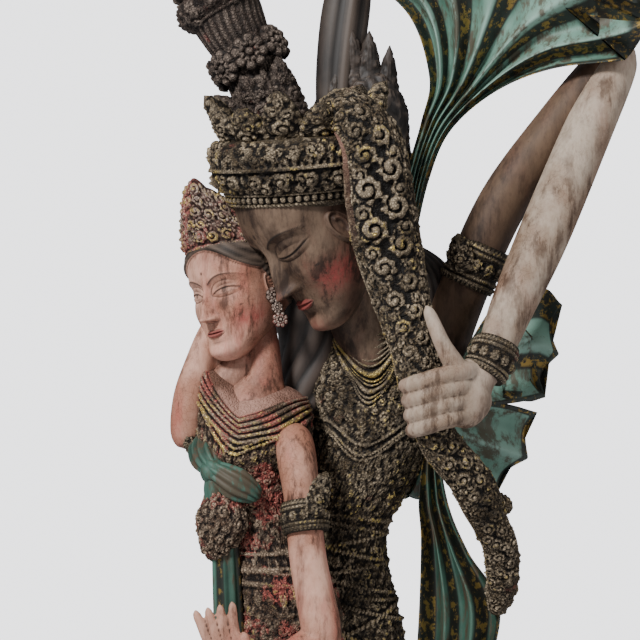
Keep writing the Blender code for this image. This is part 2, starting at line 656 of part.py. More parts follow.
def painted_wood():
    material = bpy.data.materials.new("painted_wood")
    material.use_nodes = True
    shader = material.node_tree.nodes["Principled BSDF"]
    shader.inputs["Base Color"].default_value = GREY_PAINTED_WOOD
    shader.inputs["Roughness"].default_value = 0.7
    shader.inputs["Metallic"].default_value = 0.0
    return material


clear_scene()
carve_prince_body()
carve_consort_body()
carve_head("prince_head", PRINCE_HEAD)
carve_head("consort_head", CONSORT_HEAD)
carve_prince_crown()
carve_consort_tiara()
carve_arms()
carve_sash()
carve_scarves()
carve_back_crest()
carve_feet()
carve_base()
group = fused("rama_and_sita_group", pieces)
group.data.materials.append(painted_wood())
collection = bpy.data.collections.new("rama_and_sita_statue")
bpy.context.scene.collection.children.link(collection)
bpy.context.scene.collection.objects.unlink(group)
collection.objects.link(group)
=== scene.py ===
"""A carved, painted and gilded wooden group: a prince bends over his consort, his raised hand
closed round a carved sash, green scarves flying behind him."""

import bpy
import numpy as np
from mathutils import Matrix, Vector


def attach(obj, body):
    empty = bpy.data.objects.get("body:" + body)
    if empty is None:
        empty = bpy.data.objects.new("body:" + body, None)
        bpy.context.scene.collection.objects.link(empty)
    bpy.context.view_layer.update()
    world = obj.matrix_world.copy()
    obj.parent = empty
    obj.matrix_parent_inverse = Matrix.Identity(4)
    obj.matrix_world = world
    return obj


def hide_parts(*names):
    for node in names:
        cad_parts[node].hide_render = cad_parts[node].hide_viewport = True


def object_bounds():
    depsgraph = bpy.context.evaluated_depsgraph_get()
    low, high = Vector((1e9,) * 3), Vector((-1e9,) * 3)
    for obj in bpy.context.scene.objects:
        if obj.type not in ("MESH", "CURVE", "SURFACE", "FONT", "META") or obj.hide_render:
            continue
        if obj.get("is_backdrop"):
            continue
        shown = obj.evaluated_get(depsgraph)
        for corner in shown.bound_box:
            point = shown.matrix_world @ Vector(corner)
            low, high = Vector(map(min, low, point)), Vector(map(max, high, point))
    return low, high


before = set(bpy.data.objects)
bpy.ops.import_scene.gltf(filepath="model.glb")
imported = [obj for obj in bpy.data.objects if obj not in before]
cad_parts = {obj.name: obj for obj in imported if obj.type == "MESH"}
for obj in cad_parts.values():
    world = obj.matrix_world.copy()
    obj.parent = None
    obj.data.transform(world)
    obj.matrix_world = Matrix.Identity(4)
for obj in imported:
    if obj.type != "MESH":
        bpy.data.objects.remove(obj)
cad_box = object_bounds()

# Base: a low oval of the same softwood block, its side cut into upright lotus petals.
# Stained dark brown, its edges taken back to the bare wood by wear and also painted paler as painted
# highlight, its hollows painted near black as painted shade. All points in this file are the carver's
# millimetres above the top of this base.
BLOCK = "rama_and_sita_group"
BASE_TOP = 46.0
BASE_LENGTH, BASE_DEPTH, PETALS = 324.0, 262.0, 18


def eased(rows, count):
    """A smooth run through the rows: at each step a cubic through the four nearest (Catmull-Rom)."""
    rows = np.asarray(rows, float)
    padded = np.vstack([2 * rows[0] - rows[1], rows, 2 * rows[-1] - rows[-2]])
    spot = np.linspace(0, len(rows) - 1 - 1e-9, count)
    i = spot.astype(int)
    t = (spot - i)[:, None]
    a, b, c, d = padded[i], padded[i + 1], padded[i + 2], padded[i + 3]
    return 0.5 * (2 * b + (c - a) * t + (2 * a - 5 * b + 4 * c - d) * t**2 + (3 * b - a - 3 * c + d) * t**3)


def turns(sides, front=0.0, bias=0.0):
    """Angles round a ring from 0, (1 + bias) times closer together at the front than behind."""
    fine = np.linspace(0, 2 * np.pi, 721)
    run = np.cumsum(1 + bias * (0.5 + 0.5 * np.cos(fine - front)))
    return np.interp(np.arange(sides) / sides, (run - run[0]) / (run[-1] - run[0]), fine)


def held(values):
    """The values, held between 0 and 1."""
    return np.clip(values, 0, 1)


def unit(ways):
    """The ways, each one long."""
    return ways / (np.linalg.norm(ways, axis=-1, keepdims=True) + 1e-12)


def bell(far, wide):
    """exp(-(far / wide)^2): 1 in the middle, near nothing two widths away."""
    return np.exp(-((far / wide) ** 2))


def skin(rings, **paint):
    """A closed skin over a stack of rings (n, m, 3): quads between neighbouring rings and a fan
    to the middle of each end. It is turned to face outwards by the sign of its volume."""
    n, m, _ = rings.shape
    ids = np.arange(n * m).reshape(n, m)
    right = np.roll(ids, -1, axis=1)
    quads = np.stack([ids[:-1], right[:-1], right[1:], ids[1:]], axis=-1).reshape(-1, 4)
    low = np.stack([right[0], ids[0], np.full(m, n * m)], axis=-1)
    high = np.stack([ids[-1], right[-1], np.full(m, n * m + 1)], axis=-1)
    tris = np.vstack([low, high])
    points = np.vstack([rings.reshape(-1, 3), rings[[0, -1]].mean(axis=1)])
    corners = points - points.mean(axis=0)
    a, b, c, d = (corners[quads[:, k]] for k in range(4))
    volume = (a * np.cross(b, c)).sum() + (a * np.cross(c, d)).sum()
    if volume < 0:
        quads, tris = quads[:, ::-1], tris[:, ::-1]
    shades = {}
    for key, value in paint.items():
        value = np.broadcast_to(value, (n, m))
        shades[key] = np.concatenate([value.ravel(), [value[0].mean(), value[-1].mean()]])
    return dict(points=points, quads=quads, tris=tris, paint=shades)


def piece(name, skins, finish):
    """Joins skins into one object, in metres from the floor, with their paint as attributes."""
    starts = np.cumsum([0] + [len(part["points"]) for part in skins])
    points = np.vstack([part["points"] for part in skins]) * 0.001 + (0, 0, BASE_TOP * 0.001)
    quads = np.vstack([part["quads"] + start for part, start in zip(skins, starts)])
    tris = np.vstack([part["tris"] + start for part, start in zip(skins, starts)])
    mesh = bpy.data.meshes.new(name)
    mesh.vertices.add(len(points))
    mesh.vertices.foreach_set("co", points.ravel())
    mesh.loops.add(4 * len(quads) + 3 * len(tris))
    mesh.loops.foreach_set("vertex_index", np.concatenate([quads.ravel(), tris.ravel()]))
    mesh.polygons.add(len(quads) + len(tris))
    first = np.concatenate([np.arange(len(quads)) * 4, 4 * len(quads) + np.arange(len(tris)) * 3])
    mesh.polygons.foreach_set("loop_start", first)
    mesh.polygons.foreach_set("use_smooth", np.ones(len(first), bool))
    for key in sorted(set(key for part in skins for key in part["paint"])):
        values = [part["paint"].get(key, np.zeros(len(part["points"]))) for part in skins]
        mesh.attributes.new(key, "FLOAT", "POINT").data.foreach_set("value", np.concatenate(values))
    mesh.update(calc_edges=True)
    mesh.validate()
    return owned(bpy.data.objects.new(name, mesh), finish)


def owned(item, finish):
    """Puts an object in the scene with its finish, as part of the carved block."""
    item.data.materials.clear()
    item.data.materials.append(finish)
    bpy.context.scene.collection.objects.link(item)
    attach(item, "root")
    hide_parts(BLOCK)
    return item


class Carving:
    """Relief laid out in millimetres on a stack of rings: how far round and how far along."""

    def __init__(self, rings):
        self.rings = rings
        arc = np.linalg.norm(np.roll(rings, -1, axis=1) - rings, axis=2)
        self.girth = arc.sum(axis=1)[:, None]
        self.around = np.cumsum(arc, axis=1) - arc
        self.share = self.around / self.girth
        rise = np.linalg.norm(np.diff(rings, axis=0), axis=2).mean(axis=1)
        self.along = np.append(0, np.cumsum(rise))
        self.height = np.zeros(rings.shape[:2])
        self.level = rings[..., 2].mean(axis=1)

    def up(self, z):
        """How far along the stack the level z lies."""
        return float(np.interp(z, self.level, self.along))

    def cut(self, form, share, up, turn, *sizes):
        """One motif at a share of the way round: heights are kept where they stand proud."""
        reach = 1.45 * max(sizes)
        rows = np.abs(self.along - up) < reach
        girth = self.girth[rows]
        x = (self.around[rows] - share * girth + girth / 2) % girth - girth / 2
        y = (self.along[rows] - up)[:, None]
        c, s = np.cos(turn), np.sin(turn)
        self.height[rows] = np.maximum(self.height[rows], form(x * c + y * s, y * c - x * s, *sizes))

    def row(self, form, count, up, turn, *sizes, first=0.0):
        """A motif repeated count times round the ring, the first a share of a step along."""
        for n in range(count):
            self.cut(form, (n + first) / count, up, turn, *sizes)

    def cord(self, up, wide, high, notch=0.16):
        """A raised cord right round, up being one level or one for each column, with a notch
        every 3.4 mm."""
        far = (self.along[:, None] - up) / wide
        beat = 1 - notch + notch * np.cos(2 * np.pi * (self.around / 3.4 + far * 0.2))
        self.height = np.maximum(self.height, high * beat * np.sqrt(np.clip(1 - far**2, 0, None)))

    def scatter(self, low, high, size, seed):
        """Small leaves and beads all over the ground, about one for each half size squared."""
        chance = np.random.default_rng(seed)
        rows = (self.along >= low) & (self.along <= high)
        count = int(self.girth[rows].mean() * (high - low) / (0.55 * size**2))
        for _ in range(count):
            share, up, turn = chance.random(), chance.uniform(low, high), chance.uniform(0, 2 * np.pi)
            if chance.random() < 0.75:
                self.cut(
                    blade, share, up, turn, size * chance.uniform(0.9, 1.5), size * chance.uniform(0.5, 0.8)
                )
            else:
                self.cut(bead, share, up, 0.0, size * chance.uniform(0.16, 0.3))

    def scrollwork(self, low, high, size, seed):
        """Rows of scrolls, hooks and blooms, no two alike, on a ground of small leaves."""
        self.scatter(low - 0.5 * size, high + 0.5 * size, 0.9 * size, seed + 1000)
        chance = np.random.default_rng(seed)
        for k, row in enumerate(np.arange(low, high, 1.3 * size)):
            girth = float(np.interp(row, self.along, self.girth[:, 0]))
            count = max(int(girth / (1.6 * size)), 3)
            for n in range(count):
                share = (n + 0.5 * (k % 2) + chance.uniform(-0.2, 0.2)) / count
                up = row + chance.uniform(-0.22, 0.22) * size
                form = (scroll, scroll, scroll, hook, hook, hook, bloom)[chance.integers(7)]
                self.cut(form, share, up, chance.uniform(0, 2 * np.pi), size * chance.uniform(0.75, 1.2))
                self.cut(bead, share + 0.5 / count, up + 0.3 * size, 0.0, size * chance.uniform(0.2, 0.36))
                turn = chance.uniform(-1.7, 1.7)
                self.cut(blade, share + 0.42 / count, up - 0.4 * size, turn, 1.3 * size, 0.75 * size)

    def carved(self):
        """The rings pushed out along their normals by the relief."""
        across = np.roll(self.rings, -1, axis=1) - np.roll(self.rings, 1, axis=1)
        upward = np.gradient(self.rings, axis=0)
        normal = unit(np.cross(across, upward))
        outward = self.rings - self.rings.mean(axis=1, keepdims=True)
        if (normal * outward).sum() < 0:
            normal = -normal
        rows = np.arange(len(self.rings))
        ends = held(np.minimum(rows, rows[::-1]) / 4)
        return self.rings + normal * (self.height * ends[:, None])[..., None]

    def worn(self):
        """How far each point stands proud: the height less its own average nearby, 0.5 when level. Finishes
        lay wear and painted highlight where it is high and painted shade in the hollows where it is low.
        """
        soft = self.height
        for _ in range(6):
            padded = np.pad(soft, ((1, 1), (0, 0)), mode="edge")
            soft = (
                padded[:-2] + padded[2:] + np.roll(soft, 2, axis=1) + np.roll(soft, -2, axis=1) + soft
            ) / 5
        return held(0.5 + (self.height - soft) * 0.30)

    def skin(self, **paint):
        """The carved skin, with how far each point stands proud, for wear and for painted shade and
        highlight.
        """
        return skin(self.carved(), worn=self.worn(), **paint)


def scroll(x, y, size):
    """Rolled leaf: a dome with a narrow cut on a spiral of 1.6 turns, its rim notched in seven."""
    r, a = np.hypot(x, y) / size, np.arctan2(y, x)
    dome = np.clip(1 - (r / (0.90 + 0.10 * np.cos(7 * a))) ** 2, 0, None) ** 0.4
    phase = (1.6 * r - a / (2 * np.pi)) % 1.0
    groove = bell(phase - 0.5, 0.16) * (r > 0.16)
    return size * dome * (0.62 + 0.14 * np.sin(a)) * (1 - 0.75 * groove)


def hook(x, y, size):
    """Curled leaf: a broad ridge on a circle of 0.6 size that tapers over 300 degrees, ribbed
    across like a shell, round a full heart."""
    r, a = np.hypot(x, y), np.arctan2(y, x) % (2 * np.pi)
    wide = size * np.clip(0.44 - 0.055 * a, 0.03, 0.44)
    ridge = np.clip(1 - ((r - 0.60 * size + 0.03 * size * a) / wide) ** 2, 0, None) ** 0.4 * (a < 5.2)
    heart = np.sqrt(np.clip(1 - (r / (0.26 * size)) ** 2, 0, None))
    return size * (0.62 * ridge * (0.78 + 0.22 * np.cos(13 * a)) * (1 - 0.07 * a) + 0.5 * heart)


def bloom(x, y, size):
    """Eight-petalled flower: the rim swells with cos 8a, and a bead stands in the middle."""
    r, a = np.hypot(x, y), np.arctan2(y, x)
    petal = 0.5 + 0.5 * np.cos(8 * a)
    dome = np.sqrt(np.clip(1 - (r / (size * (0.84 + 0.16 * petal))) ** 2, 0, None))
    heart = np.sqrt(np.clip(1 - (r / (0.3 * size)) ** 2, 0, None))
    return size * (dome * (0.2 + 0.16 * petal) * (0.6 + 0.4 * held(r / size * 2)) + 0.3 * heart)


def bead(x, y, size):
    """Half a ball."""
    return np.sqrt(np.clip(size**2 - x**2 - y**2, 0, None))


def blade(x, y, long, wide):
    """Pointed leaf from y = 0 to its tip: half width follows sin(pi t^0.65), with a groove down
    the middle and ribs slanting up from it."""
    t = held(y / long)
    half = 0.5 * wide * np.sin(np.pi * t**0.65) ** 0.8 * (1 - 0.15 * t) + 1e-6
    body = np.clip(1 - (x / half) ** 2, 0, None) * (y > 0) * (y < long)
    vein = bell(x, 0.1 * wide)
    ribs = 0.5 + 0.5 * np.cos(2 * np.pi * (y - 1.2 * np.abs(x)) / (0.24 * long))
    return 0.5 * wide * np.sqrt(body) * (1 - 0.5 * vein) * (0.68 + 0.32 * ribs)


def swag(x, y, wide, drop, strands):
    """Festoon of strands, each on the parabola y = -drop (1 - (2x/wide)^2), one under another."""
    inside = np.clip(1 - (2 * x / wide) ** 2, 0, None)
    depth = -(y + drop * inside) / 3.2
    strand = np.abs(np.sin(np.pi * depth)) ** 0.7
    return 2.1 * strand * (depth > 0) * (depth < strands) * (inside > 0)


def tint(code):
    """sRGB hex to the linear colour that a shader mixes."""
    value = np.array([int(code[k:k + 2], 16) / 255 for k in (1, 3, 5)])
    linear = np.where(value <= 0.04045, value / 12.92, ((value + 0.055) / 1.055) ** 2.4)
    return (*linear.tolist(), 1.0)


def add(tree, kind, links=None, **settings):
    """Adds one node, sets its settings, and fills or links its inputs by name or number."""
    item = tree.nodes.new(kind)
    for key, value in settings.items():
        setattr(item, key, value)
    for key, value in (links or {}).items():
        if isinstance(value, bpy.types.NodeSocket):
            tree.links.new(value, item.inputs[key])
        else:
            item.inputs[key].default_value = value
    return item


class Field:
    """A value that varies over a finish: one output of its node tree."""

    def __init__(self, tree, socket):
        self.tree = tree
        self.socket = socket

    def reckon(self, operation, other):
        """One sum of the shader's on this value and another."""
        other = other.socket if isinstance(other, Field) else other
        item = add(self.tree, "ShaderNodeMath", {0: self.socket, 1: other}, operation=operation)
        return Field(self.tree, item.outputs[0])

    def __mul__(self, other):
        return self.reckon("MULTIPLY", other)

    def __add__(self, other):
        return self.reckon("ADD", other)

    def step(self, low, high):
        """0 at low and 1 at high, eased in between."""
        links = {0: self.socket, 1: low, 2: high}
        item = add(self.tree, "ShaderNodeMapRange", links, interpolation_type="SMOOTHSTEP")
        return Field(self.tree, item.outputs[0])


class Finish:
    """A material laid on coat by coat; colour is what has been laid on so far."""

    def __init__(self, name, roughness, ground, specular=0.5):
        self.material = bpy.data.materials.new(name)
        self.material.use_nodes = True
        self.tree = self.material.node_tree
        self.shader = self.tree.nodes["Principled BSDF"]
        self.colour = tint(ground)
        self.shader.inputs["Base Color"].default_value = self.colour
        self.shader.inputs["Roughness"].default_value = roughness
        self.shader.inputs["Specular IOR Level"].default_value = specular

    def field(self, kind, output, links=None, **settings):
        """Adds a node and gives one of its outputs."""
        return Field(self.tree, add(self.tree, kind, links, **settings).outputs[output])

    def grain(self, size_mm, stretch=(1, 1, 1), detail=5.0, rough=0.6, shift=0.0):
        """Noise whose features are about size_mm across, stretched along the wood's grain."""
        coords = self.field("ShaderNodeTexCoord", "Object").socket
        moved = self.field("ShaderNodeMapping", 0, {0: coords, 1: (shift, shift, shift), 3: stretch}).socket
        links = {"Vector": moved, "Scale": 500.0 / size_mm, "Detail": detail, "Roughness": rough}
        return self.field("ShaderNodeTexNoise", 0, links)

    def cells(self, size_mm):
        """How far a point lies from the edges of a net of cells about size_mm across, bent by
        noise: 0 on the edges, about 0.4 in the middle."""
        coords = self.field("ShaderNodeTexCoord", "Object").socket
        noise = {"Vector": coords, "Scale": 500.0 / size_mm, "Detail": 3.0}
        bend = self.field("ShaderNodeTexNoise", "Color", noise).socket
        shift = {0: bend, 1: (0.0016 * size_mm,) * 3, 2: coords}
        bent = self.field("ShaderNodeVectorMath", 0, shift, operation="MULTIPLY_ADD").socket
        net = {"Vector": bent, "Scale": 1000.0 / size_mm}
        return self.field("ShaderNodeTexVoronoi", "Distance", net, feature="DISTANCE_TO_EDGE")

    def mark(self, name):
        """What a skin's paint says under this name."""
        return self.field("ShaderNodeAttribute", "Fac", attribute_name=name)

    def mixed(self, low, high, share):
        """A blend of two colours, each a code or a socket."""
        low, high = (tint(tone) if isinstance(tone, str) else tone for tone in (low, high))
        links = {0: share.socket, 6: low, 7: high}
        return self.field("ShaderNodeMix", 2, links, data_type="RGBA").socket

    def lay(self, coat, where):
        """Lays a coat over the colour where the field is high."""
        self.colour = self.mixed(self.colour, coat, where)

    def feed(self, name, field):
        """Links a field to an input of the shader."""
        self.tree.links.new(field.socket, self.shader.inputs[name])

    def done(self, height, strength, deep):
        """Links the colour and a bump whose height is deep metres, and gives the material."""
        self.tree.links.new(self.colour, self.shader.inputs["Base Color"])
        bump = {"Height": height.socket, "Strength": strength, "Distance": deep}
        self.feed("Normal", self.field("ShaderNodeBump", 0, bump))
        return self.material


def stained_wood(name, dark, light, edge):
    """Softwood stained and waxed: long grain streaks 5 mm apart and paler patches at random; what stands
    proud is a paler dusty grey-brown, partly wear back to the bare wood and partly painted highlight, and
    the hollows are near black as painted shade. Waxed wood is about 0.6 rough."""
    finish = Finish(name, 0.62, dark)
    streak = finish.grain(5.0, (1, 1, 0.16))
    worn = finish.mark("worn")
    finish.lay(light, streak.step(0.38, 0.66))
    finish.lay(edge, finish.grain(45.0, shift=3.0).step(0.45, 0.7) * 0.6)
    # Paler on what stands proud, as wear and painted highlight; near black in the hollows, as painted
    # shade.
    finish.lay(edge, worn.step(0.5, 0.85) * 0.8)
    finish.lay("#15100d", worn.step(0.5, 0.2) * 0.85)
    return finish.done(streak, 0.35, 0.0008)


base_wood = stained_wood("stained_base_wood", "#2a1d16", "#4a382c", "#7d6957")


def oval(reach, sides):
    """A ring of the base's outline: a superellipse of power 2.3, scaled by reach."""
    a = turns(sides)
    x = BASE_LENGTH / 2 * np.sign(np.cos(a)) * np.abs(np.cos(a)) ** 0.86
    y = BASE_DEPTH / 2 * np.sign(np.sin(a)) * np.abs(np.sin(a)) ** 0.86
    return np.stack([reach * x, reach * y, np.zeros(sides)], axis=-1)


base_profile = eased([
    (0.90, -46), (0.945, -44), (0.965, -38), (0.985, -26), (0.975, -12), (0.94, -5), (0.90, -1), (0.84, 0),
    (0.7, 1)
], 40)
base_rings = np.stack([oval(reach, 220) + (0, 0, max(z, -46.0)) for reach, z in base_profile])
base_carving = Carving(base_rings)
petal_foot = base_carving.up(-41)
base_carving.row(blade, PETALS * 2, petal_foot, 0.0, 32.0, 24.0)
base_carving.row(blade, PETALS * 2, petal_foot + 4, 0.0, 30.0, 17.0, first=0.5)
base_carving.cord(base_carving.up(-43), 2.2, 1.6)
base_carving.cord(base_carving.up(-3), 2.4, 1.4)
base_carving.height *= 0.62
base_carving.height[:2] = 0
piece("base", [base_carving.skin()], base_wood)

# Feet: bare toes that show under both hems, cut in the round from the block and painted.
# Chalk paint over brown wood, worn through in streaks along the grain.


def frames(path, towards):
    """Directions across and out of a path, out leaning to towards."""
    way = unit(np.gradient(path, axis=0))
    across = unit(np.cross(way, np.broadcast_to(np.asarray(towards, float), way.shape)))
    return way, across, np.cross(across, way)


def limb(rows, steps=40, sides=36, towards=(0, -1, 0), power=2.0, bias=0.0):
    """Rings along a path, rows of (x, y, z, half width[, half depth]); the section is a
    superellipse of the given power, a circle at 2. A quarter of the way round faces towards, and
    bias sets the columns closer together there."""
    run = eased([(*row, row[3])[:5] if len(row) == 4 else row for row in rows], steps)
    _, across, out = frames(run[:, :3], towards)
    wide, deep = np.maximum(run[:, 3:4], 0.05), np.maximum(run[:, 4:5], 0.05)
    a = turns(sides, 0.5 * np.pi, bias)
    c = np.sign(np.cos(a)) * np.abs(np.cos(a)) ** (2 / power)
    s = np.sign(np.sin(a)) * np.abs(np.sin(a)) ** (2 / power)
    side = across[:, None] * (wide * c)[..., None]
    return run[:, None, :3] + side + out[:, None] * (deep * s)[..., None]


def tube(rows, steps, sides, towards=(0, -1, 0), **paint):
    """The skin of a plain limb."""
    return skin(limb(rows, steps, sides, towards), **paint)


def rubbed_paint(name, light, mid, bare, wear=0.5, rosy=0.0):
    """Chalk paint on carved softwood, handled for years: bare brown wood shows in streaks along the grain
    and in patches, the more so with wear, and as painted shade where the skin's shade mark is high; creases
    are painted dark as painted shade and sharp outward edges paler as painted highlight. rosy is how much
    pink lies on it. Red, black and combed hair follow the marks on the skin. Matt, about 0.62 rough."""
    finish = Finish(name, 0.62, mid, 0.28)
    streak = finish.grain(6.0, (1, 1, 0.2), 9.0, 0.72)
    patch = finish.grain(30.0, (1, 1, 0.7), 6.0, 0.62, 5.0)
    fine = finish.grain(1.5, (1, 1, 0.35), 4.0, 0.75, 9.0)
    flush = finish.grain(22.0, (1, 1, 0.4), 6.0, 0.65, 17.0)
    veil = finish.grain(11.0, (1, 1, 0.45), 9.0, 0.78, 23.0)
    comb = finish.grain(3.0, (0.18, 0.18, 1.0), 6.0, 0.7, 31.0)
    edges = finish.field("ShaderNodeNewGeometry", "Pointiness")
    shade = finish.mark("shade")
    finish.lay(light, patch.step(0.36, 0.64))
    finish.lay(mid, fine.step(0.45, 0.75) * 0.5)
    finish.lay("#ad4d47", flush.step(0.46, 0.68) * rosy)
    finish.lay("#a2403f", finish.mark("blush") * fine.step(0.1, 0.75))
    # Painted shade: the shade mark widens the patches where the bare wood shows through.
    rubbed_and_shaded = patch.step(0.60, 0.38) * 0.75 + (shade * patch.step(0.62, 0.40) + 0.25)
    gone_and_shaded = streak.step(0.60 - 0.14 * wear, 0.72 - 0.14 * wear) * rubbed_and_shaded.reckon("MINIMUM", 1.0)
    finish.lay(bare, gone_and_shaded * 0.92)
    # Painted shade: bare brown laid where the shade mark is high.
    finish.lay(bare, shade * veil.step(0.30, 0.60) * 0.9)
    finish.lay(bare, veil.step(0.50, 0.72) * (0.6 * wear))
    finish.lay(bare, finish.cells(4.0).step(0.06, 0.0) * patch.step(0.54, 0.40) * 0.45)
    # Painted shade: dark brown in creases and hollows. Painted highlight: the light colour on sharp outward
    # edges.
    finish.lay("#2c1d15", edges.step(0.495, 0.45) * 0.85)
    finish.lay(light, edges.step(0.52, 0.60) * 0.5)
    finish.lay("#7e3a37", finish.mark("lips") * 0.85)
    lock = comb.step(0.40, 0.62) * 0.4 + finish.mark("lock") * 0.8
    finish.lay(finish.mixed("#1c1511", "#5f5045", lock), finish.mark("hair").step(0.2, 0.6))
    finish.lay("#17120f", finish.mark("line") * 0.92)
    return finish.done(fine * 0.5 + streak, 0.4, 0.0008)


consort_paint = rubbed_paint("pink_chalk_paint", "#d3a691", "#a2715c", "#4a2f24", 0.75, 0.50)
foot_skins = []
for x, y, lean in ((-92, -34, -0.5), (-108, -14, -0.6), (-14, 0, -0.3), (16, -4, -0.2)):
    heel, toe = np.array((x - 10 * lean, y + 18, 6)), np.array((x + 14 * lean, y - 16, 5))
    middle = (heel + toe) / 2 + (0, 0, 2)
    foot_skins.append(tube([
        (*heel, 1), (*(heel * 0.8 + middle * 0.2), 9), (*middle, 10), (*(toe * 0.9 + middle * 0.1), 10),
        (*toe, 6)
    ], 16, 20, (0, 0, 1)))
    for k in range(5):
        root = toe + (4.2 * (k - 2), 1.5 * abs(k - 1), 0)
        foot_skins.append(tube([
            (*root, 2.4), (*(root + (0.4, -5, 0)), 2.9), (*(root + (0.4, -9, -1)), 2.6),
            (*(root + (0.4, -11, -1)), 0.2)
        ], 8, 10, (0, 0, 1)))
piece("feet", foot_skins, consort_paint)

# Robes: both skirts fall straight to the base in long pleats, each with a carved hem band and a
# folded cloth hanging down its front. Painted black over brown, with gold left on the edges.


def way_out(a):
    """Level ways at the angles a round an axis."""
    return np.stack([np.cos(a), np.sin(a), 0 * a], axis=-1)


def robe(rows, sides, steps):
    """Flat oval rings, rows of (x, y, z, half width, half depth), counted from the viewer's right
    and closer together on the viewer's side."""
    run = eased(rows, steps)
    ring = way_out(turns(sides, 1.5 * np.pi, 2.6))
    size = np.stack([run[:, 3], run[:, 4], 0 * run[:, 3]], axis=-1)
    return run[:, None, :3] + size[:, None] * ring


def gilt_carving(name, hollow, middle, dust_and_highlight, ground, gold, red=0.0, gild=0.5):
    """Deep carving painted black on a coloured ground, then gilded: what stands proud is dusty grey, partly
    grime and partly painted highlight, and the cuts are near black, partly black paint and partly painted
    shade; the ground shows in patches and leaf remains on the tops that wear has polished, the more so with
    red and gild. Gold leaf is metal at 0.36 roughness, the paint is 0.68."""
    finish = Finish(name, 0.68, middle, 0.25)
    rubbed_and_shaded, bare = finish.mark("worn"), finish.mark("bare")
    patch = finish.grain(30.0)
    fleck = finish.grain(3.2, detail=4.0, rough=0.7, shift=4.0)
    speck = finish.grain(1.2, detail=3.0, rough=0.7, shift=7.0)
    dusty = finish.grain(14.0, detail=4.0, shift=21.0).step(0.30, 0.62)
    reds = finish.grain(18.0, detail=6.0, shift=11.0).step(0.66 - 0.3 * red, 0.72 - 0.3 * red)
    chips = finish.cells(2.6).step(0.02, 0.28)
    finish.lay(hollow, fleck.step(0.35, 0.7))
    finish.lay(ground, reds * min(1.0, 0.4 + red))
    # Dusty grey on what stands proud: grime and painted highlight.
    finish.lay(dust_and_highlight, (fleck * 0.5 + rubbed_and_shaded).step(0.64, 1.0) * dusty)
    finish.lay(hollow, chips.step(0.6, 0.05) * 0.6)
    # Painted shade: the hollows laid near black over the black paint in the cuts.
    finish.lay(hollow, rubbed_and_shaded.step(0.5, 0.27) * 0.96)
    left = rubbed_and_shaded.step(0.55, 0.75) * patch.step(
        0.64 - 0.2 * gild, 0.76 - 0.2 * gild
    ) * fleck.step(0.50, 0.58)
    leaf = left.reckon("MAXIMUM", finish.mark("gilt").step(0.30, 0.62) * fleck.step(0.44, 0.56))
    finish.lay(gold, leaf)
    finish.lay(finish.mixed("#5c4033", "#a88172", patch.step(0.35, 0.65)), bare)
    leaf = leaf * bare.step(1.0, 0.0)
    finish.feed("Metallic", leaf * 0.85)
    finish.feed("Roughness", leaf * -0.32 + 0.68)
    return finish.done(speck * 0.5 + chips, 0.75, 0.0011)


prince_carving_paint = gilt_carving(
    "black_and_gilt_carving", "#0c0806", "#51432f", "#a8977f", "#8c4440", "#c4ab68", 0.10, 0.85
)
consort_carving_paint = gilt_carving(
    "red_and_gilt_carving", "#140c09", "#5b4636", "#a8937d", "#b05850", "#c4ab68", 0.55, 0.9
)


def pleats(carving, count, depth, low, high, seed):
    """Falling folds: height depth x |cos| of the way round, wandering a little, dying out above."""
    chance = np.random.default_rng(seed)
    drift = 0.012 * np.sin(2 * np.pi * (carving.share * 3 + chance.random()))
    fold = np.abs(np.cos(np.pi * count * (carving.share + drift))) ** 0.7
    fade = held((high - carving.level) / (0.35 * (high - low)))[:, None]
    carving.height = np.maximum(carving.height, depth * fold * fade)


def hem_band(carving, low, high, size, seed):
    """A carved border: a cord above and below one or two rows of scrolls."""
    carving.scrollwork(carving.up(low) + size, carving.up(high), size, seed)
    for z in (low, high):
        carving.cord(carving.up(z), 1.8, 2.4)
        carving.row(bead, 64, carving.up(z) + 3.4, 0.0, 1.5)


PRINCE_ROBE = [(14, 46, -8, 47, 43), (14, 46, 30, 40, 37), (13, 45, 160, 38, 36), (10, 42, 260, 40, 38),
               (2, 42, 380, 44, 41), (-6, 40, 474, 45, 41)]
CONSORT_ROBE = [(-62, 0, -8, 44, 41), (-62, 0, 30, 36, 34), (-62, 0, 160, 33, 32), (-62, -4, 260, 36, 35),
                (-60, 0, 380, 41, 40), (-57, 2, 470, 44, 41)]
prince_skirt = Carving(robe(PRINCE_ROBE, 112, 104))
pleats(prince_skirt, 22, 3.4, 40, 440, 3)
hem_band(prince_skirt, 6, 34, 7.0, 5)
piece("prince_robe", [prince_skirt.skin()], prince_carving_paint)
consort_skirt = Carving(robe(CONSORT_ROBE, 108, 104))
pleats(consort_skirt, 20, 3.2, 40, 440, 8)
hem_band(consort_skirt, 6, 32, 6.5, 9)
piece("consort_robe", [consort_skirt.skin()], consort_carving_paint)

# Bodies: the chests and hips are cut all over in scrollwork like embroidered cloth, under layered
# collars, on one oval form each. The relief is 2 to 5 mm deep, black and gilt on him, gilt on a red
# ground on her.
PRINCE_BODY = [(-7, 40, 466, 44, 41), (-10, 40, 500, 43, 40), (-12, 40, 528, 38, 35), (-9, 38, 572, 30, 28),
               (4, 37, 616, 40, 34), (14, 35, 656, 49, 38), (17, 32, 684, 47, 34), (16, 30, 704, 41, 30),
               (13, 27, 720, 33, 25), (8, 22, 734, 24, 21), (4, 20, 742, 21, 19)]
CONSORT_BODY = [(-57, 2, 462, 43, 40), (-57, 2, 490, 44, 41), (-61, 2, 530, 40, 37), (-79, 2, 586, 29, 25),
                (-86, 2, 622, 34, 28), (-87, 3, 650, 37, 30), (-83, 5, 672, 38, 26), (-79, 9, 684, 32, 20),
                (-78, 13, 691, 22, 13), (-77, 15, 694, 12, 8)]


def beside_front(share, front):
    """The way from the front to a share of the way round, from -0.5 to 0.5."""
    return (share - front + 0.5) % 1.0 - 0.5


